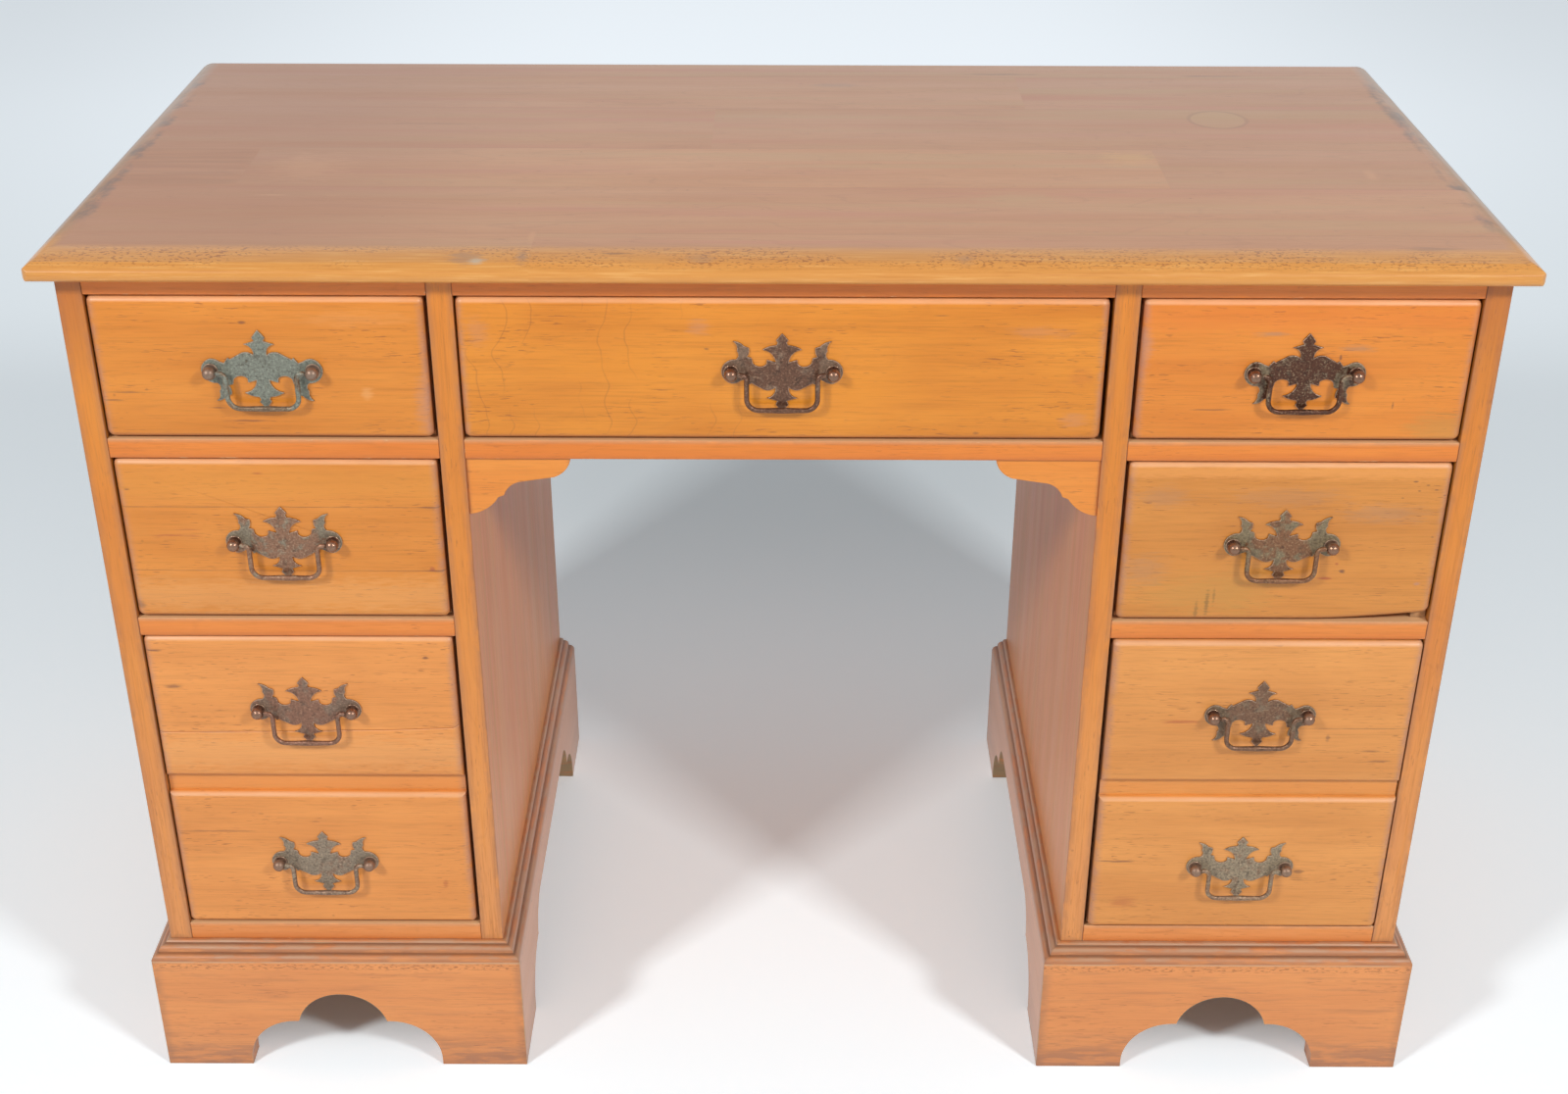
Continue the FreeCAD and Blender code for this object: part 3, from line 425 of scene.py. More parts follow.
side_finish = timber("maple_side", SIDE_PALE, SIDE_DEEP, PORE, GRIME, rough=0.36, figure=0.08, pores=0.35,
                     dents=0.4, floor_sheen=0.5, extra=case_sides)
for side in ("left", "right"):
    for place in ("inner", "outer"):
        fit(f"{side}_{place}_side", side_finish)

# Rails
# Straight-grained strips housed in the sides, one under each drawer and one over the top row.
# They kept more of the orange stain than the fronts, and grime sits where they meet the sides.

RAIL_PALE = stain(235, 139, 50)
RAIL_DEEP = stain(223, 123, 38)
RAIL_GRIME = stain(150, 96, 68)
BARE_WOOD = stain(222, 182, 134)
RAIL_LOWER_EDGE = stain(214, 116, 40)
ARRIS_HIGHLIGHT = stain(246, 178, 122)
LOWER_EDGE_BAND = (1 * MM, -8 * MM)
HIGHLIGHT_BAND = (4 * MM, 8 * MM)
CHIP_SIZE = (0.012, 0.003, 0.003)


def bare_ledges(board, wood, colour):
    """The stain was wiped on the front edges only, so the faces that the drawers hide are bare and dusty.
    The front is darker along the lower arris, and the upper arris carries a painted highlight."""
    height = part_of(board, 2)
    colour = mix(rise(height, *LOWER_EDGE_BAND) * 0.6, colour, RAIL_LOWER_EDGE)
    # Painted highlight along the upper arris.
    colour = mix(rise(height, *HIGHLIGHT_BAND) * 0.45, colour, ARRIS_HIGHLIGHT)
    ledge = rise(abs(facing(board, 2)), 0.6, 0.95)
    colour = mix(ledge * 0.85, colour, BARE_WOOD)
    chips = rise(noise(wood, CHIP_SIZE, 3.0, 0.6), 0.62, 0.7)
    return mix(chips * stored(board, "arris", "Fac") * 0.8, colour, BARE_WOOD)


rail_finish = timber("maple_rail", RAIL_PALE, RAIL_DEEP, PORE, RAIL_GRIME, figure=0.06, pores=0.4, soiled=0.7,
                     soil_width=4 * MM, floor_sheen=0.35, extra=bare_ledges)
for node in ("left_drawer_rails", "right_drawer_rails", "centre_drawer_rail", "top_rails"):
    fit(node, rail_finish, arris=0.8 * MM)

# Runners, kickers, stops and glue blocks
# Plain unstained strips that the drawers slide on and stop against, rubbed and dusty, never polished.

LINING_PALE = stain(222, 178, 128)
LINING_DEEP = stain(198, 147, 98)
LINING_PORE = stain(120, 84, 52)
DUST = stain(150, 124, 98)
bare_finish = timber("bare_strip", LINING_PALE, LINING_DEEP, LINING_PORE, DUST, rough=0.62, figure=0.12,
                     pores=0.5, soiled=0.6, varnish=0.0)
for node in ("left_drawer_runners", "right_drawer_runners", "centre_drawer_runners", "drawer_kickers",
             "drawer_stops", "plinth_glue_blocks"):
    fit(node, bare_finish, arris=0.5 * MM)

# Back panels and back rail
# A thin board closes the back of each pedestal, let into rebates in the sides, stained thinly.
# A stained rail joins the pedestals behind the centre drawer.

BACK_PALE = stain(186, 132, 84)
BACK_DEEP = stain(158, 104, 62)
BACK_PORE = stain(96, 58, 34)
BACK_GRIME = stain(120, 90, 66)
back_finish = timber("back_board", BACK_PALE, BACK_DEEP, BACK_PORE, BACK_GRIME, rough=0.55, figure=0.16,
                     pores=0.6, varnish=0.05)
for side in ("left", "right"):
    fit(f"{side}_back_panel", back_finish, arris=0.3 * MM)
fit("centre_back_rail", side_finish, arris=0.5 * MM)

# Plinths
# Mitred boards make each foot frame. A reeded moulding runs round the top, and arches are sawn in the boards.
# Dust has dried in the reeds, and the feet are scuffed. Painted shade lies in the quirks, and painted
# highlights run along the moulding's foot and the rubbed arrises.

PLINTH_PALE = stain(236, 156, 90)
PLINTH_DEEP = stain(220, 140, 80)
PLINTH_GRIME = stain(150, 110, 88)
PLINTH_RUBBED_AND_SHEEN = stain(196, 178, 130)
DRY_DUST_AND_SHEEN = stain(200, 172, 140)
REED_BROWN = stain(160, 104, 74)
REED_GRIME_AND_SHADE = stain(108, 74, 56)
SEAM_DUST = stain(214, 208, 196)
KNEE_SIDE_GREY = stain(210, 182, 166)
BARE_FOOT = stain(158, 146, 112)
MOULDING_FOOT = 115 * MM
QUIRKS = (121.8 * MM, 127.9 * MM)
HAIRLINE = (0.4 * MM, 1.2 * MM)
SCUFF_HEIGHT = 50 * MM
REAR = 110 * MM
SEAM_TOP = (128.6 * MM, 129 * MM)
SEAM_START = (-250 * MM, -252 * MM)
SEAM_END = (262 * MM, 264 * MM)
SEAM_MIDDLE = -48 * MM
SEAM_LENGTH = (50 * MM, 62 * MM)
TO_KNEES = (-0.15, -0.22)
KNEE_BOARD = (280 * MM, 300 * MM)
BLOWN_SIZE = (0.03, 0.03, 0.004)
BROWN_STREAK_SIZE = (0.07, 0.006, 0.006)
PLINTH_SPECK_SIZE = (0.005, 0.005, 0.0014)
SCUFF_SIZE = (0.03, 0.03, 0.006)


def plinth_dirt(board, wood, colour):
    """Brown reeds with dust on their upper faces, a pale painted highlight along their foot, grime and
    painted shade in their quirks, dark specks under them, brown streaks on the boards, paler grey on the
    faces towards the kneehole, scuffs on the feet and bare grey wood at the rear ones."""
    place = in_frame(board)
    x, y, height = (part_of(place, axis) for axis in range(3))
    blown = noise(place, BLOWN_SIZE, 3.0, 0.6)
    streaks = rise(noise(wood, BROWN_STREAK_SIZE, 3.0, 0.6), 0.5, 0.72)
    colour = mix(streaks * 0.28, colour, REED_BROWN)
    reeds = rise(height, MOULDING_FOOT, MOULDING_FOOT + 2 * MM)
    colour = mix(reeds * (rise(blown, 0.3, 0.6) * 0.4 + 0.35), colour, REED_BROWN)
    dust = rise(facing(board, 2), 0.3, 0.75) * rise(blown, 0.4, 0.6)
    colour = mix(dust * 0.4, colour, DRY_DUST_AND_SHEEN)
    # Pale painted highlight along the foot of the moulding.
    foot_line = near(height, MOULDING_FOOT + 0.6 * MM, *HAIRLINE)
    colour = mix(foot_line * rise(blown, 0.35, 0.5) * 0.55, colour, DRY_DUST_AND_SHEEN)
    # Grime and painted shade in the quirks.
    for quirk in QUIRKS:
        colour = mix(near(height, quirk, *HAIRLINE) * 0.5, colour, REED_GRIME_AND_SHADE)
    seam = rise(height, *SEAM_TOP) * rise(x, *SEAM_START) * (1.0 - rise(abs(x), *SEAM_END))
    seam = seam * near(y, SEAM_MIDDLE, *SEAM_LENGTH) * rise(blown, 0.35, 0.45)
    colour = mix(seam * 0.8, colour, SEAM_DUST)
    under = near(height, MOULDING_FOOT - 4 * MM, 1 * MM, 5 * MM)
    specks = rise(noise(place, PLINTH_SPECK_SIZE, 2.0), 0.53, 0.62)
    colour = mix(under * specks * 0.6, colour, PORE)
    low = 1.0 - rise(height, 0.0, SCUFF_HEIGHT)
    scuffs = rise(noise(place, SCUFF_SIZE, 3.0, 0.6), 0.42, 0.62) * low
    colour = mix(scuffs * 0.45 + low * 0.3, colour, GRIME)
    # Paler and greyer on the faces towards the kneehole.
    to_knees = rise(facing(board, 0) * x, *TO_KNEES) * (1.0 - rise(abs(x), *KNEE_BOARD))
    colour = mix(to_knees * 0.55, colour, KNEE_SIDE_GREY)
    bare = rise(y, REAR, REAR + 8 * MM) * rise(facing(board, 1), -0.2, -0.6) * rise(blown, 0.3, 0.5)
    return mix(bare * 0.75, colour, BARE_FOOT)


# The arrises are rubbed pale and carry a painted highlight.
plinth_finish = timber("maple_plinth", PLINTH_PALE, PLINTH_DEEP, PORE, PLINTH_GRIME, figure=0.03, fibre=0.3,
                       pores=0.4, soil_width=10 * MM, worn=0.7, worn_to=PLINTH_RUBBED_AND_SHEEN, extra=plinth_dirt)
for side in ("left", "right"):
    fit(f"{side}_plinth", plinth_finish, arris=0.5 * MM)

# Knee brackets
# Small boards with a sawn outline, glued into the corners of the kneehole under the rail.
# They are of the same amber maple as the rail.

BRACKET_PALE = stain(238, 151, 60)
BRACKET_DEEP = stain(228, 136, 48)
BRACKET_GRIME = stain(160, 104, 72)
bracket_finish = timber("maple_bracket", BRACKET_PALE, BRACKET_DEEP, PORE, BRACKET_GRIME, figure=0.06,
                        pores=0.4, soil_width=4 * MM)
for side in ("left", "right"):
    fit(f"{side}_knee_bracket", bracket_finish, arris=0.5 * MM)

# Drawer boxes
# Sides and back of unfinished wood, lapped to the front, with a thin bottom board slid into grooves.

BOTTOM_PALE = stain(204, 168, 122)
BOTTOM_DEEP = stain(182, 142, 96)
bottom_finish = timber("drawer_bottom", BOTTOM_PALE, BOTTOM_DEEP, LINING_PORE, DUST, rough=0.6, figure=0.16,
                       pores=0.5, varnish=0.0)
DRAWERS = [f"{side}_{level}_drawer" for side in ("left", "right") for level in ("top", "second", "deep")]
DRAWERS.append("centre_drawer")
for drawer in DRAWERS:
    fit(f"{drawer}_box", bare_finish, arris=0.5 * MM)
    fit(f"{drawer}_bottom", bottom_finish, arris=0.3 * MM)

# Drawer fronts
# Maple boards with their front edges rounded over and the grain level. Each came from another board and
# aged its own way: dents, streaks, water stains, one split and one curled lower edge.

FRONT_GRIME = stain(160, 120, 104)
INK = stain(96, 56, 46)
RUST = stain(176, 84, 44)
SMOKE = stain(166, 128, 100)
OLIVE = stain(196, 140, 62)
MOSS = stain(122, 92, 44)
BLEACHED = stain(240, 178, 112)
HAZE = stain(184, 136, 122)
AMBER = stain(228, 142, 30)
ORANGE = stain(228, 124, 44)
HONEY = stain(232, 154, 78)
PALE_HONEY = stain(236, 158, 80)
DARK_HONEY = stain(220, 142, 50)
LEFT_BAND = stain(232, 144, 66)
RIGHT_BAND = stain(226, 142, 62)
RUBBED_RIM_AND_SHEEN = stain(242, 184, 136)
UNDER_RIM_SHADE = stain(176, 112, 74)
END_GRAIN = stain(92, 52, 30)
ACROSS_ALL = 9000
PATCHY_SIZE = (0.05, 0.012, 0.012)
RAGGED_SIZE = (0.016, 0.0022, 0.0022)
END_REACH = (2 * MM, 9 * MM)
FACE_DEPTH = 4 * MM
RING_STEP = 19 * MM
RING_WANDER = 45 * MM
RING_SIZE = (0.2, 0.03, 0.03)
RING_PATCH_SIZE = (0.05, 0.07, 0.07)
RINGS_END = -60 * MM


def length_of(vector):
    return vector.node("ShaderNodeVectorMath", {"operation": "LENGTH"}, {0: vector}, "Value")


def oval(board, x, z, width, height):
    """0 in the middle of an oval on a board's face and 1 on its rim, in millimetres from the board's
    middle."""
    offset = vector_sum("SUBTRACT", board, (x * MM, z * MM, 0.0))
    return length_of(vector_sum("DIVIDE", offset, (width * MM, height * MM, 1)))


def handled(board, wood, colour):
    """The rounded rim of a front: rubbed pale with a painted highlight along the top, greyed near the ends by
    hand grime and a painted reflection of the sky, painted shade underneath, and dark end grain that soaked
    up the stain."""
    up = facing(board, 2)
    patchy = noise(wood, PATCHY_SIZE, 3.0, 0.6)
    # Painted highlight on the upper rounding, where the finish is also rubbed pale.
    top_rim = rise(up, 0.1, 0.5) * (1.0 - rise(up, 0.85, 0.99))
    colour = mix(top_rim * (patchy * 0.6 + 0.25), colour, RUBBED_RIM_AND_SHEEN)
    # Greyed near the ends by hand grime and by a painted reflection of the sky on the end roundings.
    from_end = part_of(stored(board, "half"), 0) - abs(part_of(board, 0))
    greyed_and_sheen = (1.0 - rise(from_end + (patchy - 0.5) * 12 * MM, *END_REACH)) * rise(patchy, 0.35, 0.65)
    colour = mix(greyed_and_sheen * 0.4, colour, HAZE)
    # Painted shade on the lower rounding, which faces down.
    colour = mix(rise(up, -0.25, -0.8) * 0.6, colour, UNDER_RIM_SHADE)
    return mix(rise(abs(facing(board, 0)), 0.8, 0.98) * 0.8, colour, END_GRAIN)


def marked(*marks, outside=-1):
    """Paints a board's own marks on its outer face: place, half sizes, colour and strength of each."""
    def paint(board, wood, colour):
        ragged = (noise(wood, RAGGED_SIZE, 3.0, 0.65) - 0.5) * 1.8
        outer = rise(part_of(board, 2) * outside, 0.0, FACE_DEPTH)
        for x, z, width, height, ink, strength in marks:
            spot = 1.0 - rise(oval(board, x, z, width, height) + ragged, 0.15, 1.0)
            colour = mix(spot * outer * strength, colour, ink)
        return colour
    return paint


def growth_loops(board, wood, colour):
    """Faint upright growth lines where the centre front was sawn near the heart of the tree."""
    x = part_of(board, 0)
    rings = (x + (noise(wood, RING_SIZE, 1.0, 0.4) - 0.5) * RING_WANDER) / RING_STEP
    line = 1.0 - rise(rings.sum("PINGPONG", rings, 0.5), 0.0, 0.05)
    shown = rise(x, 0.0, RINGS_END) * rise(noise(wood, RING_PATCH_SIZE, 1.0), 0.42, 0.58)
    colour = mix(line * shown * 0.28, colour, PORE)
    return marked(
        (-56, 17, 2.5, 1.2, INK, 0.5), (146, -51, 3, 1.5, INK, 0.45), (116, 44, 9, 0.8, INK, 0.5),
        (219, -40, 14, 9, HAZE, 0.22), (190, 31, 30, 7, HAZE, 0.18), (222, -5, 12, 12, RUST, 0.2),
        (-225, 30, 12, 18, HAZE, 0.2), (-62, 34, 12, 9, HAZE, 0.25), (-120, 4, 70, 20, AMBER, 0.4),
        (60, -14, 60, 20, AMBER, 0.4))(board, wood, colour)


CRACK = ((-124, 52.6), (-12, 53.6), (28, 54.7), (68, 55.3), (108, 56.9), (118, 57.4), (124, 60.3))
CRACK_HALF = 0.35 * MM
CRACK_DEPTH = 1.6 * MM
SAME_PLACE = 1e-6
CURL = 7 * MM
CURL_START = 30 * MM
CURL_STEPS = 8
CURL_BEND = 1.5
EDGE_BAND = 16 * MM


def cut(bm, place, normal):
    bmesh.ops.bisect_plane(bm, geom=bm.verts[:] + bm.edges[:] + bm.faces[:], plane_co=place, plane_no=normal)


def middle_of(bm):
    places = np.array([vert.co for vert in bm.verts])
    return Vector((places.min(axis=0) + places.max(axis=0)) / 2)


def split(bm):
    """Opens the crack that runs across the upper half of the left deep front as a thin V."""
    middle = middle_of(bm)
    face = min(vert.co.y for vert in bm.verts)
    along = [middle.x + x * MM for x, _ in CRACK]
    climb = [middle.z + z * MM for _, z in CRACK]
    level = climb[0]
    for x in along[1:-1]:
        cut(bm, (x, 0, 0), (1, 0, 0))
    groove = {}
    for offset in (-CRACK_HALF, 0, CRACK_HALF):
        cut(bm, (0, 0, level + offset), (0, 0, 1))
        groove.update({vert: offset for vert in bm.verts if abs(vert.co.z - level - offset) < SAME_PLACE})
    for vert, offset in groove.items():
        vert.co.z = float(np.interp(vert.co.x, along, climb)) + offset
        if offset == 0 and vert.co.y < face + CRACK_DEPTH:
            vert.co.y += CRACK_DEPTH
    return {edge for edge in bm.edges if edge.verts[0] in groove and edge.verts[1] in groove}


def curl(bm):
    """Lifts the lower edge of the right second front towards its outer end, where it has curled up."""
    low = min(vert.co.z for vert in bm.verts)
    end = max(vert.co.x for vert in bm.verts)
    begin = middle_of(bm).x + CURL_START
    for step in range(CURL_STEPS):
        cut(bm, (begin + (end - begin) * step / CURL_STEPS, 0, 0), (1, 0, 0))
    for vert in bm.verts:
        if vert.co.z < low + EDGE_BAND and vert.co.x > begin:
            vert.co.z += CURL * ((vert.co.x - begin) / (end - begin)) ** CURL_BEND
    return ()


# Each front's pale and deep stain, what bent its board, and its marks
FRONTS = {
    "left_top": ((228, 143, 48), (210, 124, 32), None, marked(
        (-11, 37, 3.5, 2, INK, 0.6), (-104, -19.5, 26, 1.1, INK, 0.6), (-115, -26, 10, 0.9, INK, 0.5),
        (-14, -42.5, 26, 1.2, INK, 0.55), (-37, -32, 9, 1, INK, 0.5), (76, -20, 6, 7, BLEACHED, 0.35),
        (118, -28, 9, 34, HAZE, 0.3), (70, 40, 60, 9, HONEY, 0.4))),
    "left_second": ((228, 145, 56), (210, 126, 38), None, marked(
        (0, 49, ACROSS_ALL, 21, DARK_HONEY, 0.5), (0, -50, ACROSS_ALL, 23, BLEACHED, 0.3),
        (0, 29, ACROSS_ALL, 0.7, INK, 0.35), (0, -27, ACROSS_ALL, 0.7, INK, 0.35),
        (-84, 4, 26, 1.6, RUST, 0.6), (-76, 9, 18, 1, RUST, 0.5), (-116, 44, 3, 1.2, INK, 0.6),
        (-120, -58, 6, 5, INK, 0.5), (113, -25, 3, 3, RUST, 0.7), (-14, 58, 6, 1.4, RUST, 0.6),
        (116, 29, 12, 1.4, INK, 0.5), (116, -27, 12, 1.4, INK, 0.5))),
    "left_deep": ((238, 156, 78), (220, 139, 66), split, marked(
        (-105, 97, 9, 2.5, INK, 0.6), (101, 125, 3, 2, INK, 0.7), (-117, 131, 10, 1.5, INK, 0.7),
        (0, 33, ACROSS_ALL, 24, BLEACHED, 0.3), (-91, -47, 52, 1.5, INK, 0.4), (100, -102, 3, 5, RUST, 0.5),
        (0, 0, ACROSS_ALL, 9, LEFT_BAND, 0.6))),
    "centre": ((230, 145, 40), (205, 119, 20), None, growth_loops),
    "right_top": ((233, 144, 48), (217, 124, 34), None, marked(
        (0, 42, ACROSS_ALL, 16, ORANGE, 0.4), (38, 19, 16, 4, SMOKE, 0.45), (25, 12, 1.4, 3.5, INK, 0.7),
        (69, -27, 1.2, 4, INK, 0.55), (-64, -31, 20, 1, INK, 0.5), (108, -46, 34, 20, OLIVE, 0.5),
        (-28, 30, 15, 2.6, SMOKE, 0.55), (-120, 18, 8, 22, HAZE, 0.35))),
    "right_second": ((219, 144, 62), (200, 125, 46), curl, marked(
        (0, 62, ACROSS_ALL, 8, PALE_HONEY, 0.6), (-60, -45, 70, 26, OLIVE, 0.5),
        (-30, -40, 44, 44, OLIVE, 0.3),
        (-53, -54, 2.4, 16, MOSS, 0.6), (-48, -47, 1.6, 12, MOSS, 0.45), (-61, -60, 2, 12, MOSS, 0.5),
        (37, -31, 8, 2, RUST, 0.85), (50, -25, 3, 2.4, INK, 0.75), (45, -18, 2.2, 1.6, RUST, 0.7),
        (96, 54, 2.4, 0.9, INK, 0.7), (106, 51, 2, 0.9, INK, 0.6), (113, 47, 2.4, 0.9, INK, 0.7),
        (120, 42, 1.8, 0.9, INK, 0.6), (100, 46, 1.6, 0.8, INK, 0.6), (88, 40, 1.6, 0.8, INK, 0.5),
        (116, 6, 1.6, 1, INK, 0.6), (122, -4, 1.8, 1, INK, 0.6), (77, 26, 46, 12, SMOKE, 0.35),
        (0, 40, 60, 12, SMOKE, 0.25), (-105, -24, 26, 20, SMOKE, 0.3), (-95, 40, 30, 12, SMOKE, 0.3),
        (110, -36, 3, 2, HAZE, 0.5))),
    "right_deep": ((232, 157, 80), (214, 139, 66), None, marked(
        (-62, 68, 20, 2.2, RUST, 0.6), (80, 62, 80, 1.0, INK, 0.35), (58, 53, 2.5, 5, INK, 0.5),
        (95, 40, 10, 1.5, INK, 0.5), (104, 30, 12, 1.5, INK, 0.5), (-102, -73, 22, 1.6, INK, 0.6),
        (-97, -117, 14, 8, RUST, 0.4), (51, -83, 5, 3, INK, 0.5), (0, 0, ACROSS_ALL, 9, RIGHT_BAND, 0.6))),
}
for drawer in DRAWERS:
    pale, deep, reshape, marks = FRONTS[drawer.removesuffix("_drawer")]

    def aged(board, wood, colour):
        return handled(board, wood, marks(board, wood, colour))

    front_finish = timber(f"maple_{drawer}_front", stain(*pale), stain(*deep), PORE, FRONT_GRIME, figure=0.04,
                          fibre=0.38, pores=0.55, soil_width=8 * MM, extra=aged)
    fit(f"{drawer}_front", front_finish, arris=0.5 * MM, grain=0, reshape=reshape)

# Pulls
# Sawn and filed brass plates under two ball-headed posts, held by nuts inside. A bail hangs in each pair of
# posts. The brass has gone brown in the middle and grey-green round the posts, with coppery balls.

RUBBED_AND_GLINT = stain(190, 162, 138)
COPPERY = (138, 106, 88)
BAIL_COVER = 0.35
BLOTCH_SIZE = (0.010, 0.010, 0.010)
PIT_SIZE = (0.0018, 0.0018, 0.0018)
SCRATCH_SIZE = (0.009, 0.003, 0.0009)
TARNISH_SIZE = (0.0045, 0.0045, 0.0045)
PLATE_ENDS = (16 * MM, 34 * MM)
SMALL_PIECE = (26 * MM, 18 * MM)
BRASS_RELIEF = 0.5 * MM


def brass(name, brown, patina, cover, ball=COPPERY):
    """Old brass: brown skin, a share of grey-green patina, pits, fine scratches, edges rubbed bright with a
    painted highlight, and coppery balls."""
    material, start = new_finish(name)
    place = in_frame(start)
    blotches = noise(place, BLOTCH_SIZE, 4.0, 0.65)
    grains = noise(place, PIT_SIZE, 3.0, 0.7)
    scratches = rise(noise(place, SCRATCH_SIZE, 2.0, 0.6), 0.62, 0.72)
    ends = rise(abs(part_of(stored(start, "board"), 0)), *PLATE_ENDS)
    tarnish = noise(place, TARNISH_SIZE, 3.0, 0.6)
    spread = rise(blotches + ends * 0.16 + (cover - 0.5) * 0.5, 0.42, 0.58)
    bright = stain(*(min(255, 1.4 * part) for part in patina))
    dark = stain(*(0.5 * part for part in brown))
    colour = mix(spread, stain(*brown), stain(*patina))
    colour = mix(rise(tarnish, 0.5, 0.7) * 0.5, colour, dark)
    colour = mix(rise(grains, 0.52, 0.28) * 0.7, colour, dark)
    colour = mix(rise(grains, 0.54, 0.7) * 0.6, colour, bright)
    colour = mix(scratches * rise(blotches, 0.4, 0.6) * 0.55, colour, bright)
    small = rise(part_of(stored(start, "half"), 0), *SMALL_PIECE)
    colour = mix(small * 0.75, colour, stain(*ball))
    # Edges rubbed bright, with a painted highlight where the bevel would catch the lamps.
    colour = mix(stored(start, "arris", "Fac") * rise(grains, 0.3, 0.55) * 0.7, colour, RUBBED_AND_GLINT)
    metal = small * 0.35 - spread * 0.3 + 0.5
    height = grains * 0.7 + blotches
    bump = height.node("ShaderNodeBump", sockets={
        "Strength": 0.35, "Distance": BRASS_RELIEF, "Height": height})
    surface = start.node("ShaderNodeBsdfPrincipled", sockets={
        "Base Color": colour, "Metallic": metal, "Normal": bump,
        "Roughness": spread * 0.14 + grains * 0.2 - small * 0.08 + 0.26})
    start.node("ShaderNodeOutputMaterial", sockets={"Surface": surface})
    return material


# Each pull's brown, its patina and the share that the patina covers, the upper pull first
PULLS = {
    "left_top": [((124, 102, 80), (126, 129, 116), 0.9)],
    "left_second": [((142, 102, 78), (132, 120, 100), 0.3)],
    "left_deep": [((136, 96, 76), (128, 104, 86), 0.35), ((138, 110, 90), (142, 126, 106), 0.65)],
    "centre": [((106, 72, 54), (126, 100, 80), 0.3)],
    "right_top": [((84, 48, 30), (130, 114, 90), 0.25)],
    "right_second": [((130, 88, 60), (128, 112, 84), 0.4)],
    "right_deep": [((122, 88, 66), (122, 102, 80), 0.35), ((144, 114, 90), (148, 132, 108), 0.65)],
}
for drawer in DRAWERS:
    ages = PULLS[drawer.removesuffix("_drawer")]
    finishes = [brass(f"aged_brass_{drawer}_{number}", *age) for number, age in enumerate(ages)]
    twin = len(finishes) == 2
    pull = fit(f"{drawer}_pulls" if twin else f"{drawer}_pull", finishes[0], arris=0.4 * MM)
    if twin:
        pull.data.materials.append(finishes[1])
        low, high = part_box(f"{drawer}_pulls")
        for face in pull.data.polygons:
            face.material_index = int(face.center.z < (low[2] + high[2]) / 2)
    bails = (f"{drawer}_upper_bail", f"{drawer}_lower_bail") if twin else (f"{drawer}_bail",)
    for bail, (brown, patina, cover) in zip(bails, ages):
        bail_finish = brass(f"aged_brass_{bail}", brown, patina, cover * BAIL_COVER)
        fit(bail, bail_finish, arris=0.15 * MM)

# Desk top
# Maple boards of unlike length and tone, glued edge to edge, with a thumb moulding worked on all four edges.
# The front edge shows its golden varnish, the flat's colour carries a painted reflection of the pale room,
# the ends are rubbed black, and the flat has a ring and marks.

TOP_LOW, TOP_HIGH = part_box("desk_top")
TOP_HALF_X = (TOP_HIGH[0] - TOP_LOW[0]) / 2
TOP_HALF_Y = (TOP_HIGH[1] - TOP_LOW[1]) / 2
ROW_EDGES = (-209, -104, -6, 107, 205)
BUTT_JOINTS = ((0, -183), (2, -430), (2, 302), (3, -60), (4, 210))
BUTT_STEP = 0.41
ROW_SPREAD = (1.7, 0.83, 0.31)
MOULDING = 24 * MM
SMUDGE_INSET = 19 * MM
GLUE_WIDTH = (0.2 * MM, 1.4 * MM)
FRONT_HALF = (10 * MM, -10 * MM)
LEFT_TONE = (-150 * MM, -420 * MM)
BACK_TONE = (-50 * MM, 250 * MM)
DARK_END = (-440 * MM, -424 * MM)
DARK_ROW = (-55 * MM, 40 * MM, 52 * MM)
RING = (372, 78, 26, 26)
ROSY_SIZE = (0.6, 0.024, 0.024)
TOP_STREAK_SIZE = (0.12, 0.008, 0.008)
FRAY_SIZE = (0.02, 0.008, 0.008)
FRAY = 10 * MM
BRUSHED_SIZE = (0.05, 0.0018, 0.0018)
SCATTER_SIZE = (0.09, 0.03, 0.03)
SPECK_SIZE = (0.0032, 0.0015, 0.0015)
SMUDGE_SIZE = (0.03, 0.05, 0.03)
# The flat's stain, with a painted reflection of the pale room in its varnish.
TOP_PALE_AND_SHEEN = stain(216, 155, 106)
TOP_DEEP_AND_SHEEN = stain(204, 141, 94)
TOP_PORE = stain(120, 76, 50)
TOP_GRIME = stain(140, 100, 74)
TOP_TONE = stain(184, 126, 88)
TOP_BROWN = stain(168, 112, 74)
LEFT_BROWN = stain(172, 106, 58)
TOP_ROSE = stain(204, 130, 96)
TOP_OLIVE = stain(200, 155, 104)
DARK_PIECE = stain(150, 98, 66)
GLUE_LINE = stain(160, 106, 74)
RING_RIM = stain(168, 116, 78)
GOLD = stain(220, 150, 68)
GOLD_PALE = stain(238, 182, 108)
GOLD_DEEP = stain(196, 124, 50)
END_GREY = stain(166, 130, 92)
EDGE_BLACK = stain(104, 86, 64)
SOOT = stain(88, 76, 70)
CHALK = stain(196, 190, 172)


def row_number(board):
    """Counts the boards of the top from the front row on, with a part step at each butt joint in a row."""
    x, y = part_of(board, 0), part_of(board, 1)
    steps = [y.sum("GREATER_THAN", y, edge * MM) for edge in ROW_EDGES]
    number = sum(steps, y * 0.0)
    edges = (-ACROSS_ALL, *ROW_EDGES, ACROSS_ALL)
    for row, joint in BUTT_JOINTS:
        inside = y.sum("GREATER_THAN", y, edges[row] * MM) * y.sum("LESS_THAN", y, edges[row + 1] * MM)
        number = number + inside * x.sum("GREATER_THAN", x, joint * MM) * BUTT_STEP
    return number


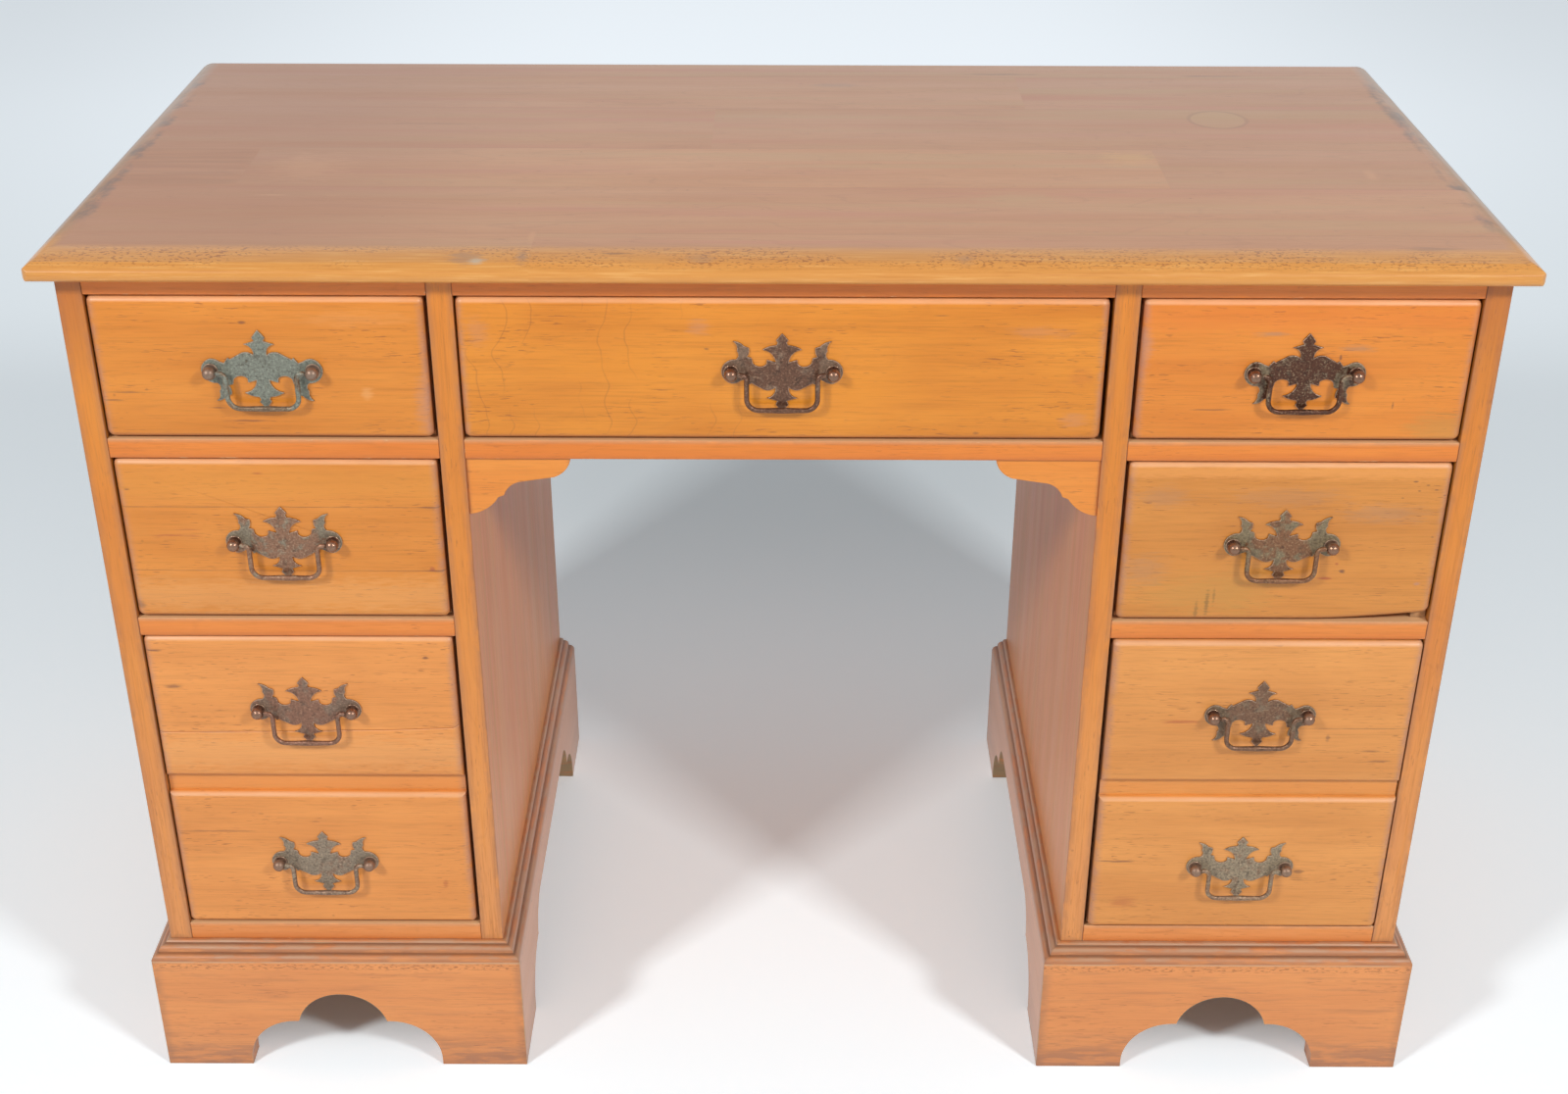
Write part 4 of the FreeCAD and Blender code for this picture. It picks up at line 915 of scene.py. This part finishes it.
def glued_rows(board):
    """Moves each board of the top to its own place in its tree, so the grain starts anew at a glue line."""
    number = row_number(board)
    return number.node("ShaderNodeCombineXYZ", sockets={axis: number * step
                                                        for axis, step in enumerate(ROW_SPREAD)})


FLAT_MARKS = marked(
    (-380, -55, 46, 44, TOP_PALE_AND_SHEEN, 0.4), (467, -67, 7, 17, TOP_PALE_AND_SHEEN, 0.6), (280, -30, 30, 26, GOLD_PALE, 0.3),
    (180, -128, 44, 20, TOP_OLIVE, 0.5), (-395, -125, 16, 1.2, TOP_PALE_AND_SHEEN, 0.6),
    (-348, -125, 12, 1.0, TOP_PALE_AND_SHEEN, 0.5), (197, 216, 46, 3, INK, 0.4), (394, 212, 40, 3, INK, 0.4),
    (44, 179, 30, 10, SMOKE, 0.4), (-300, 60, 70, 2, INK, 0.25), outside=1)
MOULDING_MARKS = marked(
    (-228, -253, 18, 9, SMOKE, 0.6), (-221, -256, 9, 4, CHALK, 0.6), (-188, -252, 7, 10, SMOKE, 0.65),
    (-60, -253, 14, 8, SMOKE, 0.4), (130, -254, 10, 7, SMOKE, 0.4), (-122, -248, 14, 2, INK, 0.5),
    (-185, -214, 4, 16, TOP_PALE_AND_SHEEN, 0.5), (470, -236, 26, 6, SOOT, 0.3), outside=1)


def top_wear(board, wood, colour):
    """Tone of each board, glue lines, golden and blackened edges and the marks of use."""
    x, y = part_of(board, 0), part_of(board, 1)
    tone = board.node("ShaderNodeTexWhiteNoise", {"noise_dimensions": "1D"}, {"W": row_number(board) + 0.2})
    colour = mix(rise(tone, 0.0, 1.0) * 0.38, colour, TOP_TONE)
    rosy = noise(wood, ROSY_SIZE, 3.0, 0.55)
    colour = mix(rise(rosy, 0.52, 0.68) * 0.5, colour, TOP_ROSE)
    colour = mix(rise(rosy, 0.48, 0.32) * 0.45, colour, TOP_OLIVE)
    for edge in ROW_EDGES:
        colour = mix(near(y, edge * MM, *GLUE_WIDTH) * 0.2, colour, GLUE_LINE)
    streaky = rise(noise(wood, TOP_STREAK_SIZE, 3.0, 0.6), 0.35, 0.6)
    dark_piece = (1.0 - rise(x, *DARK_END)) * near(y, *DARK_ROW)
    colour = mix(dark_piece * streaky * 0.4, colour, DARK_PIECE)
    colour = mix(rise(x, *LEFT_TONE) * 0.6, colour, LEFT_BROWN)
    colour = mix(rise(y, *BACK_TONE) * 0.12, colour, TOP_BROWN)
    colour = FLAT_MARKS(board, wood, colour)
    from_ring = oval(board, *RING)
    colour = mix((1.0 - rise(from_ring, 0.86, 0.94)) * 0.5, colour, TOP_OLIVE)
    colour = mix(rise(from_ring, 0.84, 0.92) * (1.0 - rise(from_ring, 0.96, 1.06)) * 0.45, colour, RING_RIM)

    fray = (noise(wood, FRAY_SIZE, 3.0, 0.6) - 0.5) * FRAY
    from_front, from_end = TOP_HALF_Y - abs(y), TOP_HALF_X - abs(x)
    front_half = rise(y, *FRONT_HALF)
    front = (1.0 - rise(from_front + fray * 0.5, MOULDING - 3 * MM, MOULDING + 9 * MM)) * front_half
    end = 1.0 - rise(from_end + fray, MOULDING - 14 * MM, MOULDING)
    colour = mix(end * 0.7, colour, END_GREY)
    corner = end * (1.0 - rise(from_front, MOULDING, 3 * MOULDING)) * front_half
    golden = greatest(front, corner)
    colour = mix(golden * 0.9, colour, GOLD)
    brushed = noise(wood, BRUSHED_SIZE, 3.0, 0.6)
    colour = mix(golden * rise(brushed, 0.52, 0.7) * 0.45, colour, GOLD_DEEP)
    colour = mix(golden * rise(brushed, 0.48, 0.3) * 0.45, colour, GOLD_PALE)
    outline = 1.0 - rise(least(from_end, from_front), 2 * MM, 9 * MM)
    colour = mix(outline * (1.0 - golden) * 0.6, colour, EDGE_BLACK)
    scattered = rise(noise(wood, SCATTER_SIZE, 2.0), 0.36, 0.56)
    specks = rise(noise(wood, SPECK_SIZE, 2.0), 0.54, 0.64) * scattered
    colour = mix(front * rise(from_front, 1 * MM, 9 * MM) * specks * 0.6, colour, PORE)
    smudges = rise(noise(wood, SMUDGE_SIZE, 4.0, 0.65), 0.4, 0.62)
    smudges = smudges * rise(from_front, 2 * MOULDING, 4 * MOULDING)
    inner_edge = near(from_end + fray, SMUDGE_INSET, 3 * MM, 10 * MM)
    colour = mix(inner_edge * smudges * 0.65, colour, SOOT)
    return MOULDING_MARKS(board, wood, colour)


top_finish = timber("maple_top", TOP_PALE_AND_SHEEN, TOP_DEEP_AND_SHEEN, TOP_PORE, TOP_GRIME, rough=0.36, figure=0.1, fibre=0.26,
                    pores=0.35, soiled=0.0, shift=glued_rows, extra=top_wear)
fit("desk_top", top_finish, arris=0.5 * MM)

# Top screws
# Slotted steel screws with countersunk heads, driven up through the kickers into the top.

SCREW_LOW, SCREW_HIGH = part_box("top_screws")
SCREW = {"Head Radius": 4 * MM, "Head Height": 3 * MM, "Shank Radius": 1.9 * MM,
         "Length": SCREW_HIGH[2] - SCREW_LOW[2] - 1 * MM,
         "Thread Turns": 11.0, "Thread Size": 0.5 * MM, "Slot Width": 1.2 * MM, "Slot Depth": 1.3 * MM}
screw_finish = brass("screw_steel", (120, 118, 114), (104, 96, 88), 0.4, ball=(126, 124, 120))
screw_tree = bpy.data.node_groups.new("slotted_screws", "GeometryNodeTree")
screw_tree.interface.new_socket("Geometry", in_out="INPUT", socket_type="NodeSocketGeometry")
sockets = {name: screw_tree.interface.new_socket(name, in_out="INPUT", socket_type="NodeSocketFloat")
           for name in SCREW}
screw_tree.interface.new_socket("Geometry", in_out="OUTPUT", socket_type="NodeSocketGeometry")
tree = Shade(screw_tree)
given = {name: tree.node("NodeGroupInput", output=name) for name in ("Geometry", *SCREW)}
head = tree.node("GeometryNodeMeshCone", sockets={
    "Vertices": 24, "Radius Bottom": given["Head Radius"], "Radius Top": given["Shank Radius"],
    "Depth": given["Head Height"]}, output="Mesh")
slot_size = tree.node("ShaderNodeCombineXYZ", sockets={0: given["Head Radius"] * 3.0, 1: given["Slot Width"],
                                                       2: given["Slot Depth"] * 2.0})
slot = tree.node("GeometryNodeMeshCube", sockets={"Size": slot_size}, output="Mesh")
slotted = tree.node("GeometryNodeMeshBoolean", {"operation": "DIFFERENCE"},
                    {"Mesh 1": head, "Mesh 2": [slot]})
shank = tree.node("GeometryNodeMeshCone", sockets={
    "Vertices": 16, "Radius Bottom": given["Shank Radius"], "Radius Top": given["Shank Radius"] * 0.6,
    "Depth": given["Length"]}, output="Mesh")
spiral = tree.node("GeometryNodeCurveSpiral", sockets={
    "Resolution": 14, "Rotations": given["Thread Turns"], "Start Radius": given["Shank Radius"],
    "End Radius": given["Shank Radius"] * 0.65, "Height": given["Length"] * 0.6})
ridge = tree.node("GeometryNodeCurvePrimitiveCircle", sockets={
    "Resolution": 4, "Radius": given["Thread Size"]})
thread = tree.node("GeometryNodeCurveToMesh", sockets={
    "Curve": spiral, "Profile Curve": ridge, "Fill Caps": True})
lift = tree.node("ShaderNodeCombineXYZ", sockets={2: given["Length"] * 0.36})
thread = tree.node("GeometryNodeTransform", sockets={"Geometry": thread, "Translation": lift})
screw = tree.node("GeometryNodeJoinGeometry", sockets={0: [slotted, shank, thread]})
screws = tree.node("GeometryNodeInstanceOnPoints", sockets={"Points": given["Geometry"], "Instance": screw})
screws = tree.node("GeometryNodeRealizeInstances", sockets={0: screws})
screws = tree.node("GeometryNodeSetMaterial", sockets={"Geometry": screws, "Material": screw_finish})
tree.node("NodeGroupOutput", sockets={"Geometry": screws})

feet = []
for run in closed_runs(frame["nodes"]["top_screws"].data):
    corners = np.array(run).reshape(-1, 3)
    centre = (corners.min(axis=0) + corners.max(axis=0)) / 2
    feet.append((centre[0], centre[1], corners[:, 2].min()))
screw_mesh = bpy.data.meshes.new("slotted_screws")
screw_mesh.from_pydata(feet, [], [])
screw_piece = bpy.data.objects.new("slotted_screws", screw_mesh)
bpy.context.collection.objects.link(screw_piece)
driven = screw_piece.modifiers.new("screws", "NODES")
driven.node_group = screw_tree
for name, size in SCREW.items():
    driven[sockets[name].identifier] = size
evaluated = screw_piece.evaluated_get(bpy.context.evaluated_depsgraph_get())
driven_mesh = bpy.data.meshes.new_from_object(evaluated)
screw_piece.modifiers.remove(driven)
screw_piece.data = driven_mesh
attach(screw_piece, frame["nodes"]["top_screws"]["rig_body"])
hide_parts("top_screws")

# Studio
# A pale floor, two soft lamps in front to the left and right, and an even sky. What the camera sees of the
# floor also glows a little and fades into the sky far off. Behind the desk and inside the plinths the glow is
# held back, as painted shade.

FLOOR_SIZE = 14.0
FLOOR_LIT = (0.88, 0.89, 0.91, 1.0)
FLOOR_SEEN = (1.02, 1.12, 1.16, 1.0)
GLOW_TONE = stain(244, 248, 255)
FLOOR_GLOW = 0.18
HOLLOW_START = (0.262, 0.275)
HOLLOW_END = (0.5, 0.515)
HOLLOW_Y = (0.2, 0.245)
SHADED_X = (0.25, 0.6)
SHADED_NEAR = (0.35, 0.9)
SHADED_FAR = (1.2, 1.8)
SHADED_SHARE = 0.6
SWEEP = (0.9, 2.8)
SWEEP_X = (0.4, 2.0)
SWEEP_GLOW = 0.32
HORIZON = (4.2, 6.8)
SKY_TONE = (0.955, 0.975, 1.0, 1.0)
SKY_SEEN = 0.9


def seen_rays(tree):
    """1 for what is seen straight, in a shiny surface or through a clear one, and 0 for light on the desk."""
    camera_ray, glossy_ray, clear_ray = (tree.node("ShaderNodeLightPath", output=f"Is {kind} Ray")
                                         for kind in ("Camera", "Glossy", "Transmission"))
    return greatest(camera_ray, greatest(glossy_ray, clear_ray))


floor_mesh = bpy.data.meshes.new("floor")
reach = FLOOR_SIZE / 2
floor_mesh.from_pydata([(-reach, -reach, 0), (reach, -reach, 0), (reach, reach, 0), (-reach, reach, 0)], [],
                       [(0, 1, 2, 3)])
floor = bpy.data.objects.new("floor", floor_mesh)
bpy.context.collection.objects.link(floor)
floor_finish, start = new_finish("floor_paper")
seen = seen_rays(start)
paper = start.node("ShaderNodeBsdfDiffuse", sockets={"Color": mix(seen, FLOOR_LIT, FLOOR_SEEN)})
place = in_frame(start)
sideways, back = abs(part_of(place, 0)), part_of(place, 1)
sweep = rise(back, *SWEEP) * (1.0 - rise(sideways, *SWEEP_X) * 0.5)
# Painted shade: the glow is held back on the floor behind the desk and inside the plinths under the
# pedestals.
shaded = rise(back, *SHADED_NEAR) * (1.0 - rise(back, *SHADED_FAR))
shaded = shaded * (1.0 - rise(sideways, *SHADED_X)) * SHADED_SHARE
hollow_shade = rise(sideways, *HOLLOW_START) * (1.0 - rise(sideways, *HOLLOW_END))
hollow_shade = hollow_shade * (1.0 - rise(abs(back), *HOLLOW_Y))
strength = seen * (1.0 - greatest(shaded, hollow_shade)) * (sweep * SWEEP_GLOW + FLOOR_GLOW)
glow = start.node("ShaderNodeEmission", sockets={"Color": GLOW_TONE, "Strength": strength})
lit_paper = start.node("ShaderNodeAddShader", sockets={0: paper, 1: glow})
haze = start.node("ShaderNodeEmission", sockets={"Color": SKY_TONE, "Strength": SKY_SEEN})
far_off = rise(length_of(place), *HORIZON) * seen
blended = start.node("ShaderNodeMixShader", sockets={0: far_off, 1: lit_paper, 2: haze})
start.node("ShaderNodeOutputMaterial", sockets={"Surface": blended})
floor_mesh.materials.append(floor_finish)

LAMP_X, LAMP_Y, LAMP_Z = 2.02, -2.21, 2.45
LAMP_AIM = Vector((0, -0.1, 0.35))
LAMP_SIZE = 0.45
LAMP_POWER = 52
for side in (-1, 1):
    lamp_data = bpy.data.lights.new("lamp", "AREA")
    lamp_data.size = LAMP_SIZE
    lamp_data.energy = LAMP_POWER
    lamp = bpy.data.objects.new("lamp", lamp_data)
    lamp.location = (side * LAMP_X, LAMP_Y, LAMP_Z)
    lamp.rotation_euler = (LAMP_AIM - lamp.location).to_track_quat("-Z", "Y").to_euler()
    bpy.context.collection.objects.link(lamp)

ROOM_GLOW = 0.42
BACKDROP_GLOW = 0.5
BACKDROP_Y = (0.2, 0.8)
BACKDROP_Z = (0.1, 0.4)
CEILING_SHARE = 0.5
world = bpy.data.worlds.new("studio")
world.use_nodes = True
world.node_tree.nodes.clear()
sky = Shade(world.node_tree)
direction = sky.node("ShaderNodeTexCoord", output="Generated")
height = part_of(direction, 2)
behind = rise(part_of(direction, 1), *BACKDROP_Y) * (1.0 - rise(height, *BACKDROP_Z))
lit = (1.0 - rise(height, 0.0, 1.0) * (1 - CEILING_SHARE)) * ROOM_GLOW + behind * BACKDROP_GLOW
seen = seen_rays(sky)
backdrop = sky.node("ShaderNodeBackground", sockets={"Color": SKY_TONE,
                                                     "Strength": seen * SKY_SEEN + (1.0 - seen) * lit})
sky.node("ShaderNodeOutputWorld", sockets={"Surface": backdrop})
bpy.context.scene.world = world
bpy.context.scene.view_settings.view_transform = "Standard"

CAMERA_PLACE = Vector((0.0013, -1.648, 1.287))
PITCH, YAW, ROLL = math.radians(28.69), math.radians(-0.022), math.radians(0.1755)
LENS = 47.2
SENSOR_WIDTH = 36
camera_data = bpy.data.cameras.new("camera")
camera_data.lens = LENS
camera_data.sensor_width = SENSOR_WIDTH
camera_data.sensor_fit = "HORIZONTAL"
camera = bpy.data.objects.new("camera", camera_data)
forward = Vector((math.sin(YAW) * math.cos(PITCH), math.cos(YAW) * math.cos(PITCH), -math.sin(PITCH)))
level = Vector((math.cos(YAW), -math.sin(YAW), 0))
upright = level.cross(forward)
right = level * math.cos(ROLL) + upright * math.sin(ROLL)
up = upright * math.cos(ROLL) - level * math.sin(ROLL)
camera.matrix_world = Matrix.Translation(CAMERA_PLACE) @ Matrix((right, up, -forward)).transposed().to_4x4()
bpy.context.collection.objects.link(camera)
bpy.context.scene.camera = camera
